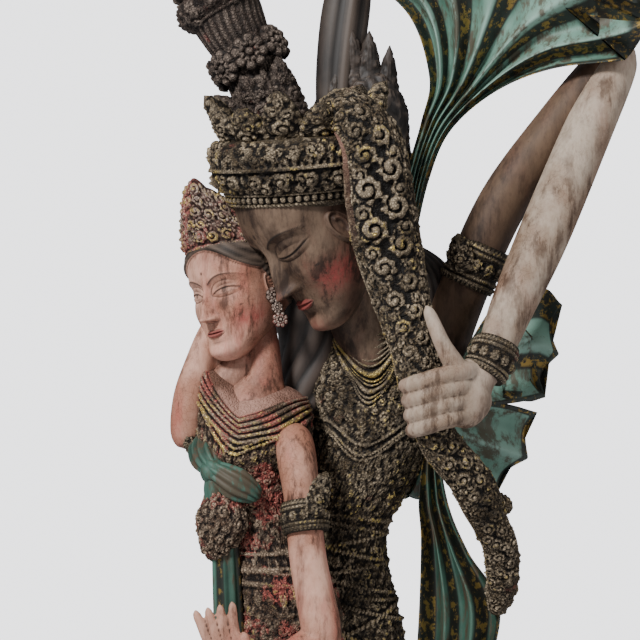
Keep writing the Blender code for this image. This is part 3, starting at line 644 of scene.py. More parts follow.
def swelled(rings, centre, radius, push):
    """Pushes the rings away from a centre by push x exp(-(distance/radius)^2), for soft masses."""
    away = rings - np.asarray(centre, float)
    far = np.linalg.norm(away, axis=2, keepdims=True)
    return rings + away / (far + 1e-9) * push * bell(far, radius)


prince_rings = robe(PRINCE_BODY, 184, 276)
prince_rings = swelled(prince_rings, (54, 30, 694), 26, 10)
prince_rings = swelled(prince_rings, (-14, 44, 688), 28, 14)
chest = Carving(prince_rings)
COLLAR_FRONT, COLLAR_LOW, COLLAR_TOP = 0.72, 678.0, 744.0
lift = 1 - bell(beside_front(chest.share, COLLAR_FRONT) * chest.girth, 26)


def hung(carving, z, top, share, lift):
    """Where a cord lies that hangs to level z in front and rises by share of the way to top."""
    return carving.up(z) + (carving.up(top) - carving.up(z)) * share * lift


chest.scrollwork(chest.up(470), chest.up(738), 5.0, 23)
for z in (662, 650):
    for n in range(30):
        share = n / 30
        rise = 1 - bell(beside_front(share, COLLAR_FRONT) * 280, 30)
        chest.cut(scroll if z > 655 else hook, share, float(hung(chest, z, 720, 0.5, rise)), 2.0 * n, 5.6)
for z in (646, 638, 634):
    chest.cord(hung(chest, z, 700, 0.42, lift), 1.7, 4.0)
for z in (632, 622, 612):
    for n in range(44):
        share = (n + 0.5 * (z == 622)) / 44
        rise = 1 - bell(beside_front(share, COLLAR_FRONT) * 260, 30)
        chest.cut(blade, share, float(hung(chest, z, 700, 0.30, rise)), np.pi, 10.0, 6.4)
sway = np.cos(2 * np.pi * (chest.share - 0.55))
for z, lean in ((522, 5), (531, 9), (545, -5), (556, 8), (568, -6), (578, 7), (586, 4)):
    chest.cord(chest.up(z) + lean * sway, 2.0, 4.2, 0.25)
for z, lean in ((486, 22), (500, -18), (512, 12)):
    chest.cord(chest.up(z) + lean * sway, 2.2, 4.8, 0.25)
collar_edge = hung(chest, COLLAR_LOW - 3, COLLAR_TOP, 0.92, lift)
chest.height *= np.where(chest.along[:, None] > collar_edge, 0.12, 1.0)
for z, wide, high in (
    (678, 1.5, 3.6), (682, 1.5, 3.6), (688, 3.2, 4.8), (694, 1.4, 3.4), (698, 1.4, 3.4), (704.5, 3.6, 4.8),
    (711, 1.4, 3.2), (715, 1.4, 3.2), (719, 1.4, 3.0), (724, 2.2, 3.6), (729, 1.4, 3.0), (733, 1.8, 3.0),
):
    chest.cord(hung(chest, z, COLLAR_TOP, 0.92, lift), wide, high, 0.10)
gold_rows = bell(chest.along[:, None] - hung(chest, 700, COLLAR_TOP, 0.92, lift), 10)
gold_rows += 0.5 * bell(chest.along[:, None] - hung(chest, 640, 700, 0.42, lift), 5)
gold_rows += 0.7 * bell(chest.along[:, None] - chest.up(560) - 6 * sway, 7)
piece("prince_body", [chest.skin(gilt=np.clip(gold_rows, 0, 0.85) * chest.worn())], prince_carving_paint)

consort_rings = robe(CONSORT_BODY, 158, 240)
for spot, size, push in (
    ((-90, -8, 646), 22, 9), ((-106, 4, 646), 20, 8), ((-60, -3, 656), 24, 12), ((-112, 16, 668), 20, 8)
):
    consort_rings = swelled(consort_rings, spot, size, push)
raised = np.clip(-96 - consort_rings[..., 0], 0, None) * held((consort_rings[..., 2] - 636) / 34)
consort_rings = consort_rings + raised[..., None] * (0, 0, 1.0)
bodice = Carving(consort_rings)
NECKLINE_FRONT = 0.68
beside = beside_front(bodice.share, NECKLINE_FRONT) * bodice.girth
slope = 0.34 * np.sqrt(beside**2 + 40) - 2
steep = 0.62 * np.sqrt(beside**2 + 20) - 3
bodice.scrollwork(bodice.up(466), bodice.up(690), 4.7, 32)
dip = np.cos(2 * np.pi * (bodice.share - 0.66))
for z, lean in ((532, 7), (540, 9), (546, 6), (556, -9), (566, -5)):
    bodice.cord(bodice.up(z) + lean * dip, 1.9, 4.2)
bodice.row(blade, 24, bodice.up(532), np.pi, 12.0, 8.0)
for z in (640, 630):
    for n in range(36):
        share = (n + 0.5 * (z == 630)) / 36
        far = abs(beside_front(share, NECKLINE_FRONT)) * 215
        bodice.cut(blade, share, bodice.up(z) + 0.3 * far, np.pi, 10.5, 6.6)
for z in (641, 646):
    bodice.cord(bodice.up(z) + steep, 1.7, 4.4)
bodice.height *= np.where(bodice.along[:, None] > bodice.up(650) + slope, 0.12, 1.0)
for k, z in enumerate((651, 656.5, 662, 667, 672)):
    bodice.cord(bodice.up(z) + slope, 2.3, 4.0 - 0.2 * k, 0.12)
bare = held((bodice.along[:, None] - bodice.up(675) - slope) / 2)
bodice.height *= 1 - bare
gold_rows = bell(bodice.along[:, None] - bodice.up(643) - steep, 5)
gold_rows += 0.6 * bell(bodice.along[:, None] - bodice.up(659) - slope, 3)
gold_rows += 0.5 * bell(bodice.along[:, None] - bodice.up(634) - 0.3 * np.abs(beside), 6)
gilt = held(gold_rows) * bodice.worn() * (1 - bare)
piece("consort_body", [bodice.skin(gilt=gilt, bare=bare)], consort_carving_paint)

# Necks and heads: smooth, carved in one with the bodies and painted as skin. The faces are calm
# and on plain proportions; brows, lashes, lips and the mark on the brow are laid on in paint.
PRINCE_HEAD = dict(
    origin=(14, 10, 775), forward=(-0.656, -0.411, -0.633), up=(-0.604, -0.217, 0.767), tall=150.0
)
CONSORT_HEAD = dict(
    origin=(-80, 25, 722), forward=(-0.659, -0.732, -0.174), up=(-0.2435, -0.0107, 0.970), tall=111.0
)
# level, half width, front and back of the skull, in shares of the head's height
SKULL = [
    (-0.02, 0.05, 0.33, -0.23), (0.0, 0.10, 0.385, -0.18), (0.05, 0.165, 0.42, -0.10),
    (0.12, 0.222, 0.415, 0.02), (0.20, 0.266, 0.402, 0.16), (0.30, 0.300, 0.402, 0.29),
    (0.40, 0.325, 0.402, 0.365), (0.50, 0.338, 0.395, 0.41), (0.60, 0.342, 0.405, 0.435),
    (0.70, 0.338, 0.390, 0.435), (0.80, 0.316, 0.345, 0.395), (0.90, 0.25, 0.255, 0.30),
    (0.97, 0.14, 0.15, 0.165), (1.0, 0.01, 0.012, 0.01)
]


def axes(seat):
    """The head's forward, left and up as the rows of a 3 by 3, squared up from two of them."""
    up = unit(np.array(seat["up"], float))
    forward = np.array(seat["forward"], float)
    forward = unit(forward - up * (forward @ up))
    return np.stack([forward, np.cross(up, forward), up])


def seated(points, seat):
    """Points given as (forward, left, up) in a seat's own millimetres."""
    return np.asarray(points, float) @ axes(seat) + np.array(seat["origin"], float)


def bump_at(side, level, at_side, at_level, wide, high):
    """A soft swelling on both sides of the face: exp(-(dx/wide)^2 - (dy/high)^2)."""
    return np.exp(-(((np.abs(side) - at_side) / wide) ** 2) - ((level - at_level) / high) ** 2)


def features(side, level, lowered):
    """Relief of a face and its paint, all in shares of the head's height. Nose: a ridge that
    grows downwards and stops short; eyes: balls in sockets with lids cut along parabolas; lips:
    two rolls that meet on a line. lowered closes the lids."""
    half = np.abs(side)
    slope = held((0.56 - level) / 0.25)
    under = 1 / (1 + np.exp(-(level - 0.286) / 0.0045))
    width = 0.024 + 0.018 * slope**2
    nose = (
        0.016 + 0.094 * slope**1.15
    ) * np.exp(-((half / width) ** 2.3)) * under * held((0.62 - level) / 0.06)
    nose += 0.014 * bump_at(side, level, 0.0, 0.312, 0.032, 0.022) * under
    nose += 0.046 * bump_at(side, level, 0.050, 0.303, 0.021, 0.022) * under
    x = (half - 0.146) / 0.090
    inside = held(1 - x**2)
    tall = np.where(level > 0.484, 0.070, 0.044)
    ball = 0.040 * np.clip(1 - (x / 1.2) ** 2 - ((level - 0.484) / tall) ** 2, 0, None) ** 0.85
    eye = ball - 0.047 * bump_at(side, level, 0.140, 0.500, 0.100, 0.056)
    if lowered:
        lash = 0.468 + 0.016 * x**2 + 0.006 * x
        crease = 0.512 - 0.016 * x**2 + 0.004 * x
        lid = (half < 0.245) * (half > 0.05)
        eye += 0.006 * bell(level - lash - 0.009, 0.007) * lid
        eye -= 0.011 * bell(level - lash, 0.0045) * lid
        line = bell(level - lash, 0.0056) * (half < 0.242) * (half > 0.053)
    else:
        lash = 0.476 + 0.026 * inside**0.8 + 0.006 * x
        crease = lash + 0.022
        lower = 0.474 - 0.011 * inside + 0.006 * x
        gap = (level < lash) * (level > lower) * (inside > 0)
        eye -= 0.008 * gap
        eye -= 0.005 * bell(level - lower + 0.008, 0.004) * inside
        line = bell(level - lash, 0.0052) * (half < 0.242) * (half > 0.053)
        line += 0.5 * bell(level - lower, 0.004) * inside**0.5
        line += 0.75 * gap * (np.hypot(half - 0.140, (level - 0.485) * 1.1) < 0.019)
    eye -= 0.005 * bell(level - crease, 0.006) * inside**0.4
    arch = held((half - 0.032) / 0.245)
    brow_level = 0.546 + 0.046 * np.sin(np.pi * arch) ** 0.8 + 0.012 * arch
    on_brow = (half > 0.032) * (half < 0.277)
    brow = 0.008 * bell(level - brow_level, 0.012) * on_brow
    thick = 0.0088 * np.clip(1.15 - arch, 0.15, 1)
    line += bell(level - brow_level, thick) * on_brow
    middle = 0.197 + 0.45 * side**2
    k = held(1 - (side / 0.088) ** 2)
    top = 0.025 * k**0.55 * (1 - 0.30 * bell(side, 0.016)) + 1e-6
    low = 0.031 * k**0.7 + 1e-6
    above, below = (level - middle) / top, (middle - level) / low
    on_top, on_low = (above > 0) * (above < 1) * (k > 0), (below >= 0) * (below < 1) * (k > 0)
    lips = (
        0.022 * np.sin(np.pi * held(above)) ** 0.8 * k**0.3
        + 0.026 * np.sin(np.pi * held(below)) ** 0.8 * k**0.3
    )
    lips += 0.012 * bump_at(side, level, 0.0, 0.195, 0.11, 0.045)
    lips -= 0.010 * bell(level - middle, 0.004) * k**0.3
    lips -= 0.006 * bump_at(side, level, 0.0, 0.252, 0.014, 0.024)
    chin = (
        0.028 * bump_at(side, level, 0.0, 0.058, 0.088, 0.050)
        - 0.014 * bump_at(side, level, 0.0, 0.128, 0.075, 0.020)
    )
    cheek = 0.020 * bump_at(side, level, 0.205, 0.350, 0.095, 0.080)
    # Painted shade: dark paint at the nostrils, which are not cut open.
    nostril = 0.85 * bump_at(side, level, 0.030, 0.282, 0.013, 0.007)
    line += nostril + 0.9 * (np.hypot(side / 0.8, level - 0.635) < 0.0115)
    line += 0.8 * (np.hypot(half - 0.235, level - 0.355) < 0.008)
    blush = (
        0.85 * bump_at(side, level, 0.250, 0.250, 0.075, 0.080)
        + 0.35 * bump_at(side, level, 0.0, 0.06, 0.08, 0.045)
    )
    blush += 0.25 * bump_at(side, level, 0.0, 0.32, 0.03, 0.03)
    relief = nose + eye + brow + lips + chin + cheek
    return relief, held(line), 1.0 * (on_top | on_low), blush


def head_skin(seat, rings, sides, lowered, hairline, combed=0.0, shaded=0.9):
    """Skull of flattened ovals, columns closer together on the face, the features pushed forward.
    Above hairline the surface is combed hair in locks that follow the hairline."""
    table = eased(SKULL, 400)
    fine = np.linspace(table[0, 0], table[-1, 0], 800)
    run = np.cumsum(1 + 1.6 * ((fine > 0.13) & (fine < 0.64)))
    level = np.interp(np.linspace(run[0], run[-1], rings), run, fine)
    wide, front, back = (np.interp(level, table[:, 0], table[:, k])[:, None] for k in (1, 2, 3))
    turn = turns(sides)
    a = turn - 0.62 * np.sin(turn)
    soft = (np.abs(np.cos(a)) ** 2.3 + np.abs(np.sin(a)) ** 2.3) ** (-1 / 2.3)
    side = wide * soft * np.sin(a)
    forward = (front - back) / 2 + (front + back) / 2 * soft * np.cos(a)
    level = np.broadcast_to(level[:, None], side.shape)
    relief, line, lips, blush = features(side, level, lowered)
    facing = held(np.cos(a) * 3) * np.ones_like(side)
    forward = forward + relief * facing
    edge = level - hairline + 2.0 * side**2 + 1.5 * held(0.13 - forward)
    hair = held(edge / 0.016) * (combed > 0)
    strands = 0.5 + 0.5 * np.cos(110 * edge + 14 * side)
    swell = 1 + hair * combed * (0.06 + 0.014 * strands)
    tall = seat["tall"]
    local = np.stack([forward * swell * tall, side * swell * tall, level * tall], axis=-1)
    shade = held((0.75 - np.cos(a)) / 0.9) * np.ones_like(side) + 0.9 * held((level - 0.66) / 0.12)
    shade += (
        0.75 * bump_at(side, level, 0.075, 0.44, 0.035, 0.09)
        + 0.5 * bump_at(side, level, 0.14, 0.535, 0.09, 0.03)
    )
    shade += 0.5 * bump_at(side, level, 0.0, 0.135, 0.12, 0.02)
    paint = dict(line=line * facing * (1 - hair), lips=lips * facing, blush=blush * facing * (1 - hair),
                 hair=hair, lock=hair * strands * 0.8, shade=held(shade) * shaded)
    return skin(seated(local, seat), **paint)


def ear_skin(seat, spot, size, lean):
    """An oval shell: a rolled rim at 0.82 of the radius, a hollow inside it and a full lobe."""
    r = np.linspace(0.02, 1, 22)[:, None]
    a = turns(36)
    rim = 2.6 * bell(r - 0.82, 0.13) * (1 - 0.5 * bell(np.sin(a) + 0.9, 0.3))
    fold = 1.8 * bell(r - 0.45, 0.12) * (np.cos(a) < 0.3)
    lobe = 2.4 * np.exp(-((r * np.sin(a) + 0.75) ** 2 + (r * np.cos(a)) ** 2) / 0.08)
    out = 2.5 * (1 - r**2) * 0.2 + rim + fold + lobe + 3.0 * (1 - r**4)
    x, z = 0.58 * size * r * np.cos(a), size * r * np.sin(a)
    c, s = np.cos(lean), np.sin(lean)
    face = np.stack([x * c - z * s, out, x * s + z * c], axis=-1)
    back = face[::-1] * (0.92, 0, 0.92) + (0, -5.0, 0)
    local = np.concatenate([face, back]) + np.asarray(spot, float)
    # Painted shade: the ear's inner hollow is darkened with the line paint.
    dark = np.concatenate([0.5 * bell(r - 0.25, 0.15) * np.ones_like(a), np.zeros((22, 36))])
    return skin(seated(local, seat), line=dark, shade=0.5)


prince_paint = rubbed_paint("grey_chalk_paint", "#786352", "#503d2f", "#281b14", 1.0, 0.14)
prince_neck = tube([
    (12, 26, 700, 24), (5, 20, 728, 23), (-6, 15, 754, 22), (-15, 13, 782, 22), (-20, 12, 806, 22)
], 26, 40, shade=1.0)
prince_ear = ear_skin(PRINCE_HEAD, (18, 46, 66), 17.0, -0.25)
piece("prince_head", [head_skin(PRINCE_HEAD, 156, 160, True, 2.0), prince_neck, prince_ear], prince_paint)
consort_neck = tube([
    (-85, 2, 652, 22, 18), (-84, 3, 666, 28, 20), (-82, 5, 678, 28, 20), (-79, 8, 690, 22, 16.5),
    (-77, 10, 700, 15.5, 15), (-77, 12, 710, 14, 14), (-79, 16, 726, 14, 14), (-84, 19, 744, 15, 15)
], 34, 44, blush=0.15, shade=0.55)
raised_slope = tube([
    (-76, 16, 728, 5), (-84, 16, 718, 12), (-96, 16, 706, 15), (-108, 15, 694, 16), (-117, 14, 682, 13),
    (-121, 14, 674, 4)
], 34, 40, shade=0.6, blush=0.1)
consort_ear = ear_skin(CONSORT_HEAD, (8, 33, 50), 12.0, -0.15)
piece("consort_head", [
    head_skin(CONSORT_HEAD, 148, 148, False, 0.79, 1.0, 0.7), consort_neck, raised_slope, consort_ear
], consort_paint)

# Arms and hands: smooth painted limbs. Fingers and palms are cut from the same wood, so they are
# run together into one skin before painting.


def fused(name, skins, finish, grit, rounds, keep=0.3):
    """Runs overlapping skins into one: a voxel remesh of the given grit in mm, rounds of
    smoothing, and then the faces thinned to the share to keep."""
    rough = piece(name + "_rough", skins, finish)
    remesh = rough.modifiers.new("one_skin", "REMESH")
    remesh.mode = "VOXEL"
    remesh.voxel_size = grit * 0.001
    smooth = rough.modifiers.new("soft", "SMOOTH")
    smooth.iterations = rounds
    smooth.factor = 0.5
    fewer = rough.modifiers.new("fewer_faces", "DECIMATE")
    fewer.ratio = keep
    graph = bpy.context.evaluated_depsgraph_get()
    mesh = bpy.data.meshes.new_from_object(rough.evaluated_get(graph))
    bpy.data.objects.remove(rough)
    mesh.shade_smooth()
    mesh.name = name
    return owned(bpy.data.objects.new(name, mesh), finish)


# His arm's paint in two copies: a pale one for the forearm and fist as painted light, and a brown one for
# the upper arm and the hidden arm as painted shade.
lit_skin_paint = rubbed_paint("lit_pale_chalk_paint", "#b5a594", "#836c59", "#453124", 0.9, 0.08)
shaded_skin_paint = rubbed_paint("shaded_brown_skin_paint", "#65503f", "#46342a", "#22160f", 1.0, 0.05)
upper_arm = tube([
    (58, 22, 694, 22), (64, 18, 716, 21), (85, 10, 774, 20), (116, 4, 842, 20), (163, 0, 908, 18.5),
    (198, 0, 952, 17)
], 90, 48)
shoulder = tube([
    (46, 24, 684, 4), (54, 22, 692, 20), (64, 18, 706, 25), (74, 15, 722, 20), (80, 12, 734, 8)
], 30, 48)
fused("prince_upper_arm", [upper_arm, shoulder], shaded_skin_paint, 1.6, 4)
forearm = tube([
    (200, 4, 970, 6), (203, 2, 964, 14), (204, -1, 954, 17), (200, -5, 940, 18), (178, -18, 892, 19.5),
    (142, -42, 812, 20), (115, -58, 754, 17), (98, -71, 714, 13), (88, -75, 700, 12)
], 110, 48)
palm = tube([
    (94, -74, 708, 12), (84, -78, 700, 19, 13), (76, -82, 690, 24, 15), (66, -84, 680, 22, 14),
    (60, -84, 674, 12, 8)
], 40, 40)
fist_skins = [forearm, palm]
for n in range(4):
    drop = 11.2 * n
    fist_skins.append(tube([
        (84 - 1.5 * n, -82, 708 - drop, 6.5), (74 - n, -93, 707 - drop, 7.4), (58, -99, 704 - drop, 6.9),
        (44 + n, -98, 700 - drop, 6.6), (34 + 1.5 * n, -91, 697 - drop, 6.0),
        (33 + 2 * n, -82, 696 - drop, 5.4), (40 + 2 * n, -77, 697 - drop, 4.6),
    ], 44, 26))
fist_skins.append(tube([
    (78, -84, 700, 9), (68, -92, 714, 8), (60, -93, 728, 6.4), (54, -91, 742, 5.6), (50, -89, 752, 4.4),
    (48, -88, 757, 1)
], 36, 26))
fused("prince_forearm", fist_skins, lit_skin_paint, 1.15, 4, 0.33)
hidden = tube([
    (2, 58, 702, 20), (-18, 76, 662, 17), (-60, 74, 618, 14.5), (-96, 50, 592, 12), (-112, 34, 586, 10)
], 70, 40)
hidden_fingers = [tube([
    (-108, 36, 592 - 7 * k, 5.5), (-118, 24, 590 - 7 * k, 5), (-122, 10, 588 - 7 * k, 4),
    (-121, 3, 587 - 7 * k, 1)
], 24, 20) for k in range(4)]
fused("prince_hidden_arm", [hidden] + hidden_fingers, shaded_skin_paint, 1.5, 3)

left_arm = [
    tube([
        (-54, -14, 664, 5), (-53, -20, 654, 14), (-50, -31, 636, 15.5), (-46, -40, 606, 14),
        (-41, -50, 560, 14.5), (-32, -56, 514, 15.5), (-30, -57, 498, 15)
    ], 90, 44),
    tube([
        (-24, -56, 500, 10), (-31, -57, 499, 15), (-59, -68, 486, 12.5), (-85, -78, 478, 10),
        (-96, -81, 478, 9)
    ], 60, 44),
    tube([
        (-90, -79, 476, 8, 8), (-98, -82, 484, 13, 8), (-104, -84, 494, 15, 7), (-106, -85, 502, 12, 5)
    ], 30, 32)
]
for n in range(4):
    left_arm.append(tube([
        (-92 - 6 * n, -84, 492, 4.6), (-95 - 7.4 * n, -87, 506, 4.0), (-97 - 8.4 * n, -88, 518, 3.6),
        (-98 - 9 * n, -87, 530 - 2 * n, 3.0), (-98.5 - 9.2 * n, -87, 534 - 2 * n, 0.6)
    ], 30, 20))
left_arm.append(tube([
    (-90, -84, 486, 5.5), (-88, -90, 498, 5), (-89, -92, 508, 4), (-90, -92, 512, 1)
], 24, 20))
fused("consort_left_arm", left_arm, consort_paint, 1.15, 3, 0.4)
right_arm = [
    tube([
        (-106, 22, 670, 10), (-114, 22, 668, 15), (-128, 18, 660, 13.5), (-137, 12, 654, 13),
        (-140, 9, 656, 10)
    ], 40, 40),
    tube([
        (-136, 12, 648, 9), (-139, 11, 656, 13.5), (-137, 8, 684, 13), (-129, 11, 712, 11.5),
        (-119, 16, 736, 11), (-107, 22, 752, 10)
    ], 60, 40)
]
for n in range(4):
    right_arm.append(tube([
        (-120 + 2 * n, 14 + 5 * n, 742, 5), (-112 + 2 * n, 8 + 5 * n, 760, 4.6),
        (-106 + 2 * n, 8 + 5 * n, 776, 4.0), (-104 + 2 * n, 9 + 5 * n, 784, 1)
    ], 24, 18))
right_arm.append(tube([
    (-126, 16, 706, 9), (-118, 20, 716, 14, 10), (-108, 24, 728, 17, 11), (-100, 28, 742, 15, 10),
    (-96, 32, 752, 8)
], 40, 36))
fused("consort_right_arm", right_arm, consort_paint, 1.2, 3)

# Jewels on the arms: bands of gilt carving between cords, with a leaf standing on the outside.
# Painted black and gilded like his robe.


def armband(rows, seed, size=4.6, sides=110, steps=30):
    """A short sleeve of relief round a limb, rows of (x, y, z, radius): cords at both ends and
    a row of scrolls and beads between them."""
    band = Carving(limb(rows, steps, sides))
    end = band.along[-1]
    for up in (0.12 * end, 0.24 * end, 0.76 * end, 0.88 * end):
        band.cord(up, 1.4, 1.8)
    count = int(band.girth.mean() / (2.1 * size))
    band.row(scroll, count, 0.5 * end, 0.4 + seed, size)
    band.row(bead, count, 0.5 * end, 0.0, 0.3 * size, first=0.5)
    band.row(bead, 3 * count, 0.06 * end, 0.0, 1.2)
    band.row(bead, 3 * count, 0.94 * end, 0.0, 1.2)
    return band.skin(gilt=0.35 * band.worn())


def crest_leaf(foot, tip, out, wide, thick, full=1.0):
    """An upright leaf between foot and tip that leans back and rolls outwards at its tip. A large
    scroll fills its foot, smaller ones climb its face, and beads make its edge uneven. full is
    how round it is: 0.3 for a slim flame, whose relief is shallower too."""
    foot, tip, out = np.asarray(foot, float), np.asarray(tip, float), unit(np.asarray(out, float))
    t = np.linspace(0, 1, 9)[:, None]
    path = foot + (tip - foot) * t + out * np.linalg.norm(tip - foot) * 0.2 * (1.7 * t**2 - 1.1 * t)
    slim = np.array([0.70, 0.92, 1.0, 0.95, 0.82, 0.64, 0.45, 0.25, 0.03])
    round_top = np.array([0.72, 0.90, 1.0, 1.04, 1.02, 0.94, 0.78, 0.50, 0.06])
    half = wide * (full * round_top + (1 - full) * slim)[:, None]
    deep = thick * np.array([1.0, 1.0, 1.0, 1.0, 1.0, 0.95, 0.85, 0.6, 0.05])[:, None]
    leaf = Carving(limb(np.hstack([path, half, deep]), 36, 46, out, 2.0, 1.5))
    long = leaf.along[-1]
    leaf.scatter(0.05 * long, 0.95 * long, max(0.5 * wide, 4.0), 90)
    leaf.cut(scroll, 0.25, long * 0.34, 0.5, wide * 0.62)
    leaf.cut(scroll, 0.16, long * 0.60, 2.4, wide * 0.42)
    leaf.cut(scroll, 0.34, long * 0.64, 0.9, wide * 0.40)
    leaf.cut(scroll, 0.25, long * 0.82, 1.6, wide * 0.34)
    for k in range(6):
        for share in (0.04, 0.46):
            leaf.cut(bead, share, long * (0.10 + 0.145 * k), 0.0, wide * 0.19)
    leaf.cut(blade, 0.25, long * 0.5, 0.0, long * 0.36, wide * 0.5)
    leaf.height *= 0.45 + 0.55 * full
    return leaf.skin()


jewels = [
    armband([(85, 10, 774, 22.4), (90, 9, 785, 22), (95, 8.2, 796, 21.8), (100, 7.4, 807, 21)], 0.2, 5.4),
    armband([
        (104, -66, 728, 17.5), (100, -69, 719, 17.5), (96, -71, 711, 17), (92, -73, 704, 16)
    ], 0.9, 4.2),
    armband([
        (-42.5, -47, 581, 17.5), (-43.5, -45, 589, 17.5), (-44.5, -43, 597, 17), (-45.5, -41, 605, 16.5)
    ], 1.7, 4.2),
    armband([(-80, -76, 479, 12.5), (-85, -78, 478.5, 12.5), (-90, -80, 478, 12)], 1.1, 3.2, 70, 16),
    crest_leaf((81, -12, 784), (78, -15, 814), (-0.35, -1, 0.2), 9, 5),
    crest_leaf((-37, -58, 596), (-28, -58, 630), (0.25, -1, 0), 8, 4),
    crest_leaf((-134, 2, 640), (-140, 4, 658), (-0.8, -0.6, 0), 6, 4),
    armband([(-128, 19, 662, 15.5), (-134, 16, 658, 15.5), (-140, 13, 654, 14.5)], 0.3, 3.4, 70, 16),
]
piece("arm_jewels", jewels, prince_carving_paint)

# Diadem: a flared drum of carved scrolls in two tiers, with a beaded rim across the brow and a
# ring of upright leaves standing on its flat top.
DIADEM = dict(origin=(-44, -8, 843), forward=(-0.750, -0.650, -0.120), up=(-0.080, -0.140, 0.987))
TO_VIEWER = 0.86      # radians from the crown's own front to the camera


def turned(profile, steps, sides):
    """Rings about the seat's own axis, rows of (height, radius, shift forward), with the columns
    closer together on the viewer's side."""
    run = eased(profile, steps)
    around = way_out(turns(sides, TO_VIEWER, 1.6))
    middle = np.stack([run[:, 2], 0 * run[:, 0], run[:, 0]], axis=-1)
    return middle[:, None] + np.maximum(run[:, 1], 0.05)[:, None, None] * around


def placed_carving(carving, seat, **paint):
    """Carves in the seat's own frame, then moves the skin to its place."""
    part = carving.skin(**paint)
    part["points"] = seated(part["points"], seat)
    return part


drum = Carving(turned([
    (-4, 55, 0), (0, 58, 0), (4, 60.5, 0), (9, 62, 0), (16, 67, 0), (26, 70, 0), (38, 71, 0), (47, 70, 0),
    (50, 66, 0), (51, 54, 0), (52, 40, 0)
], 86, 260))
drum.cord(drum.up(1), 1.8, 2.4)
drum.row(bead, 64, drum.up(5), 0.0, 2.7)
drum.cord(drum.up(9), 1.5, 2.2)
drum.scrollwork(drum.up(14), drum.up(26), 5.4, 42)
drum.row(scroll, 20, drum.up(19), 0.4, 7.4)
drum.cord(drum.up(28.5), 1.6, 4.0)
drum.row(bead, 80, drum.up(31.5), 0.0, 2.1)
drum.scrollwork(drum.up(35), drum.up(47), 5.0, 43)
drum.row(hook, 24, drum.up(41), 3.6, 6.8)
drum.height *= 1.3
diadem_skins = [placed_carving(drum, DIADEM)]
CREST_LEAVES = 13
for n in range(CREST_LEAVES):
    out = way_out(2 * np.pi * (n + 0.35) / CREST_LEAVES)
    tall = 37 if n % 2 else 25
    foot = seated(out * 51 + (0, 0, 46), DIADEM)
    tip = seated(out * 68 + (0, 0, 50 + tall), DIADEM)
    diadem_skins.append(crest_leaf(foot, tip, out @ axes(DIADEM), 15.5, 7.5, 0.55))
piece("diadem", diadem_skins, prince_carving_paint)

# Topknot: his hair drawn up into a tall bound column, held by a ring of rosettes and ending in a
# carved bud. Brown-grey paint over the wood, incised with fine locks.
TOPKNOT = dict(origin=(6, 10, 766), forward=(-0.785, -0.423, -0.453), up=(-0.5, 0.0, 0.866))


def rosette(size):
    """A domed flower on its own axis: two rows of eight petals parted by cuts, |sin 4a| high, and
    a bead in the middle."""
    a = turns(48)
    r = np.concatenate([[0.8, 0.95], np.linspace(1.0, 0.02, 24)])[:, None]
    sink = np.concatenate([[-0.4, -0.15], np.zeros(24)])[:, None]
    outer = np.abs(np.sin(4 * a)) ** 0.5 * bell(r - 0.78, 0.20)
    inner = np.abs(np.cos(4 * a)) ** 0.5 * bell(r - 0.45, 0.13)
    heart = np.sqrt(np.clip(1 - (r / 0.24) ** 2, 0, None))
    high = 0.28 * np.sqrt(np.clip(1.02 - r**2, 0, None)) + 0.26 * outer + 0.26 * inner + 0.28 * heart
    reach = size * r * (1 + 0.09 * np.abs(np.sin(4 * a)) * (r > 0.7))
    rings = np.stack([reach * np.cos(a), reach * np.sin(a), size * (high + sink)], axis=-1)
    # How far the petals and heart stand proud, for wear and for painted shade and highlight.
    worn = held(0.12 + 0.8 * (outer + inner + heart))
    return skin(rings, worn=worn)


def set_rosette(size, out, up, spot):
    """A rosette at spot that faces out, its own Y leaning to up."""
    z = unit(out)
    x = unit(np.cross(up, z))
    part = rosette(size)
    part["points"] = part["points"] @ np.stack([x, np.cross(z, x), z]) + spot
    return part


column = Carving(turned([
    (112, 30, -4), (150, 27, -7), (170, 26, -9), (188, 24, -11), (214, 23, -14), (240, 27, -16),
    (256, 30, -17), (262, 35, -18), (272, 36, -20), (278, 32, -22), (296, 33, -26), (314, 27, -31),
    (326, 15, -34), (333, 12, -36), (340, 14, -37), (348, 9, -39), (360, 1, -42)
], 160, 104))
wave = 0.5 + 0.5 * np.cos(2 * np.pi * (26 * column.share + 0.8 * np.sin(column.along[:, None] / 16)))
column.height += 0.9 * wave * (column.level[:, None] < 254)
column.row(swag, 6, column.up(206), 0.0, 24.0, 12.0, 3)
for up in (204, 224):
    column.cord(column.up(up), 2.2, 2.4)
column.scrollwork(column.up(258), column.up(318), 5.4, 41)
for up in (256, 262, 276, 324, 336):
    column.cord(column.up(up), 1.9, 2.4)
column.row(blade, 12, column.up(280), 0.0, 26.0, 15.0)
topknot_paint = gilt_carving(
    "grey_brown_topknot", "#1a1310", "#4c3f37", "#7d6f64", "#8a4038", "#b8924a", 0.12, 0.2
)
topknot_skins = [placed_carving(column, TOPKNOT)]
for n in range(7):
    out = way_out(2 * np.pi * (n + 0.35) / 7)
    spot = seated(np.array([-14, 0, 214.0]) + out * 27, TOPKNOT)
    topknot_skins.append(set_rosette(14.0, out @ axes(TOPKNOT), axes(TOPKNOT)[2], spot))
for n in range(5):
    out = way_out(np.radians(-115 + 55 * n))
    foot, tip = seated(out * 24 + (-9, 0, 150), TOPKNOT), seated(out * 31 + (-9, 0, 200), TOPKNOT)
    topknot_skins.append(crest_leaf(foot, tip, out @ axes(TOPKNOT), 13, 6, 0.6))
piece("topknot", topknot_skins, topknot_paint)

# Her tiara: a pointed wall of gilt scrolls on a dull pink ground, a rosette in front and one at
# each side of it, and an earring of three more.


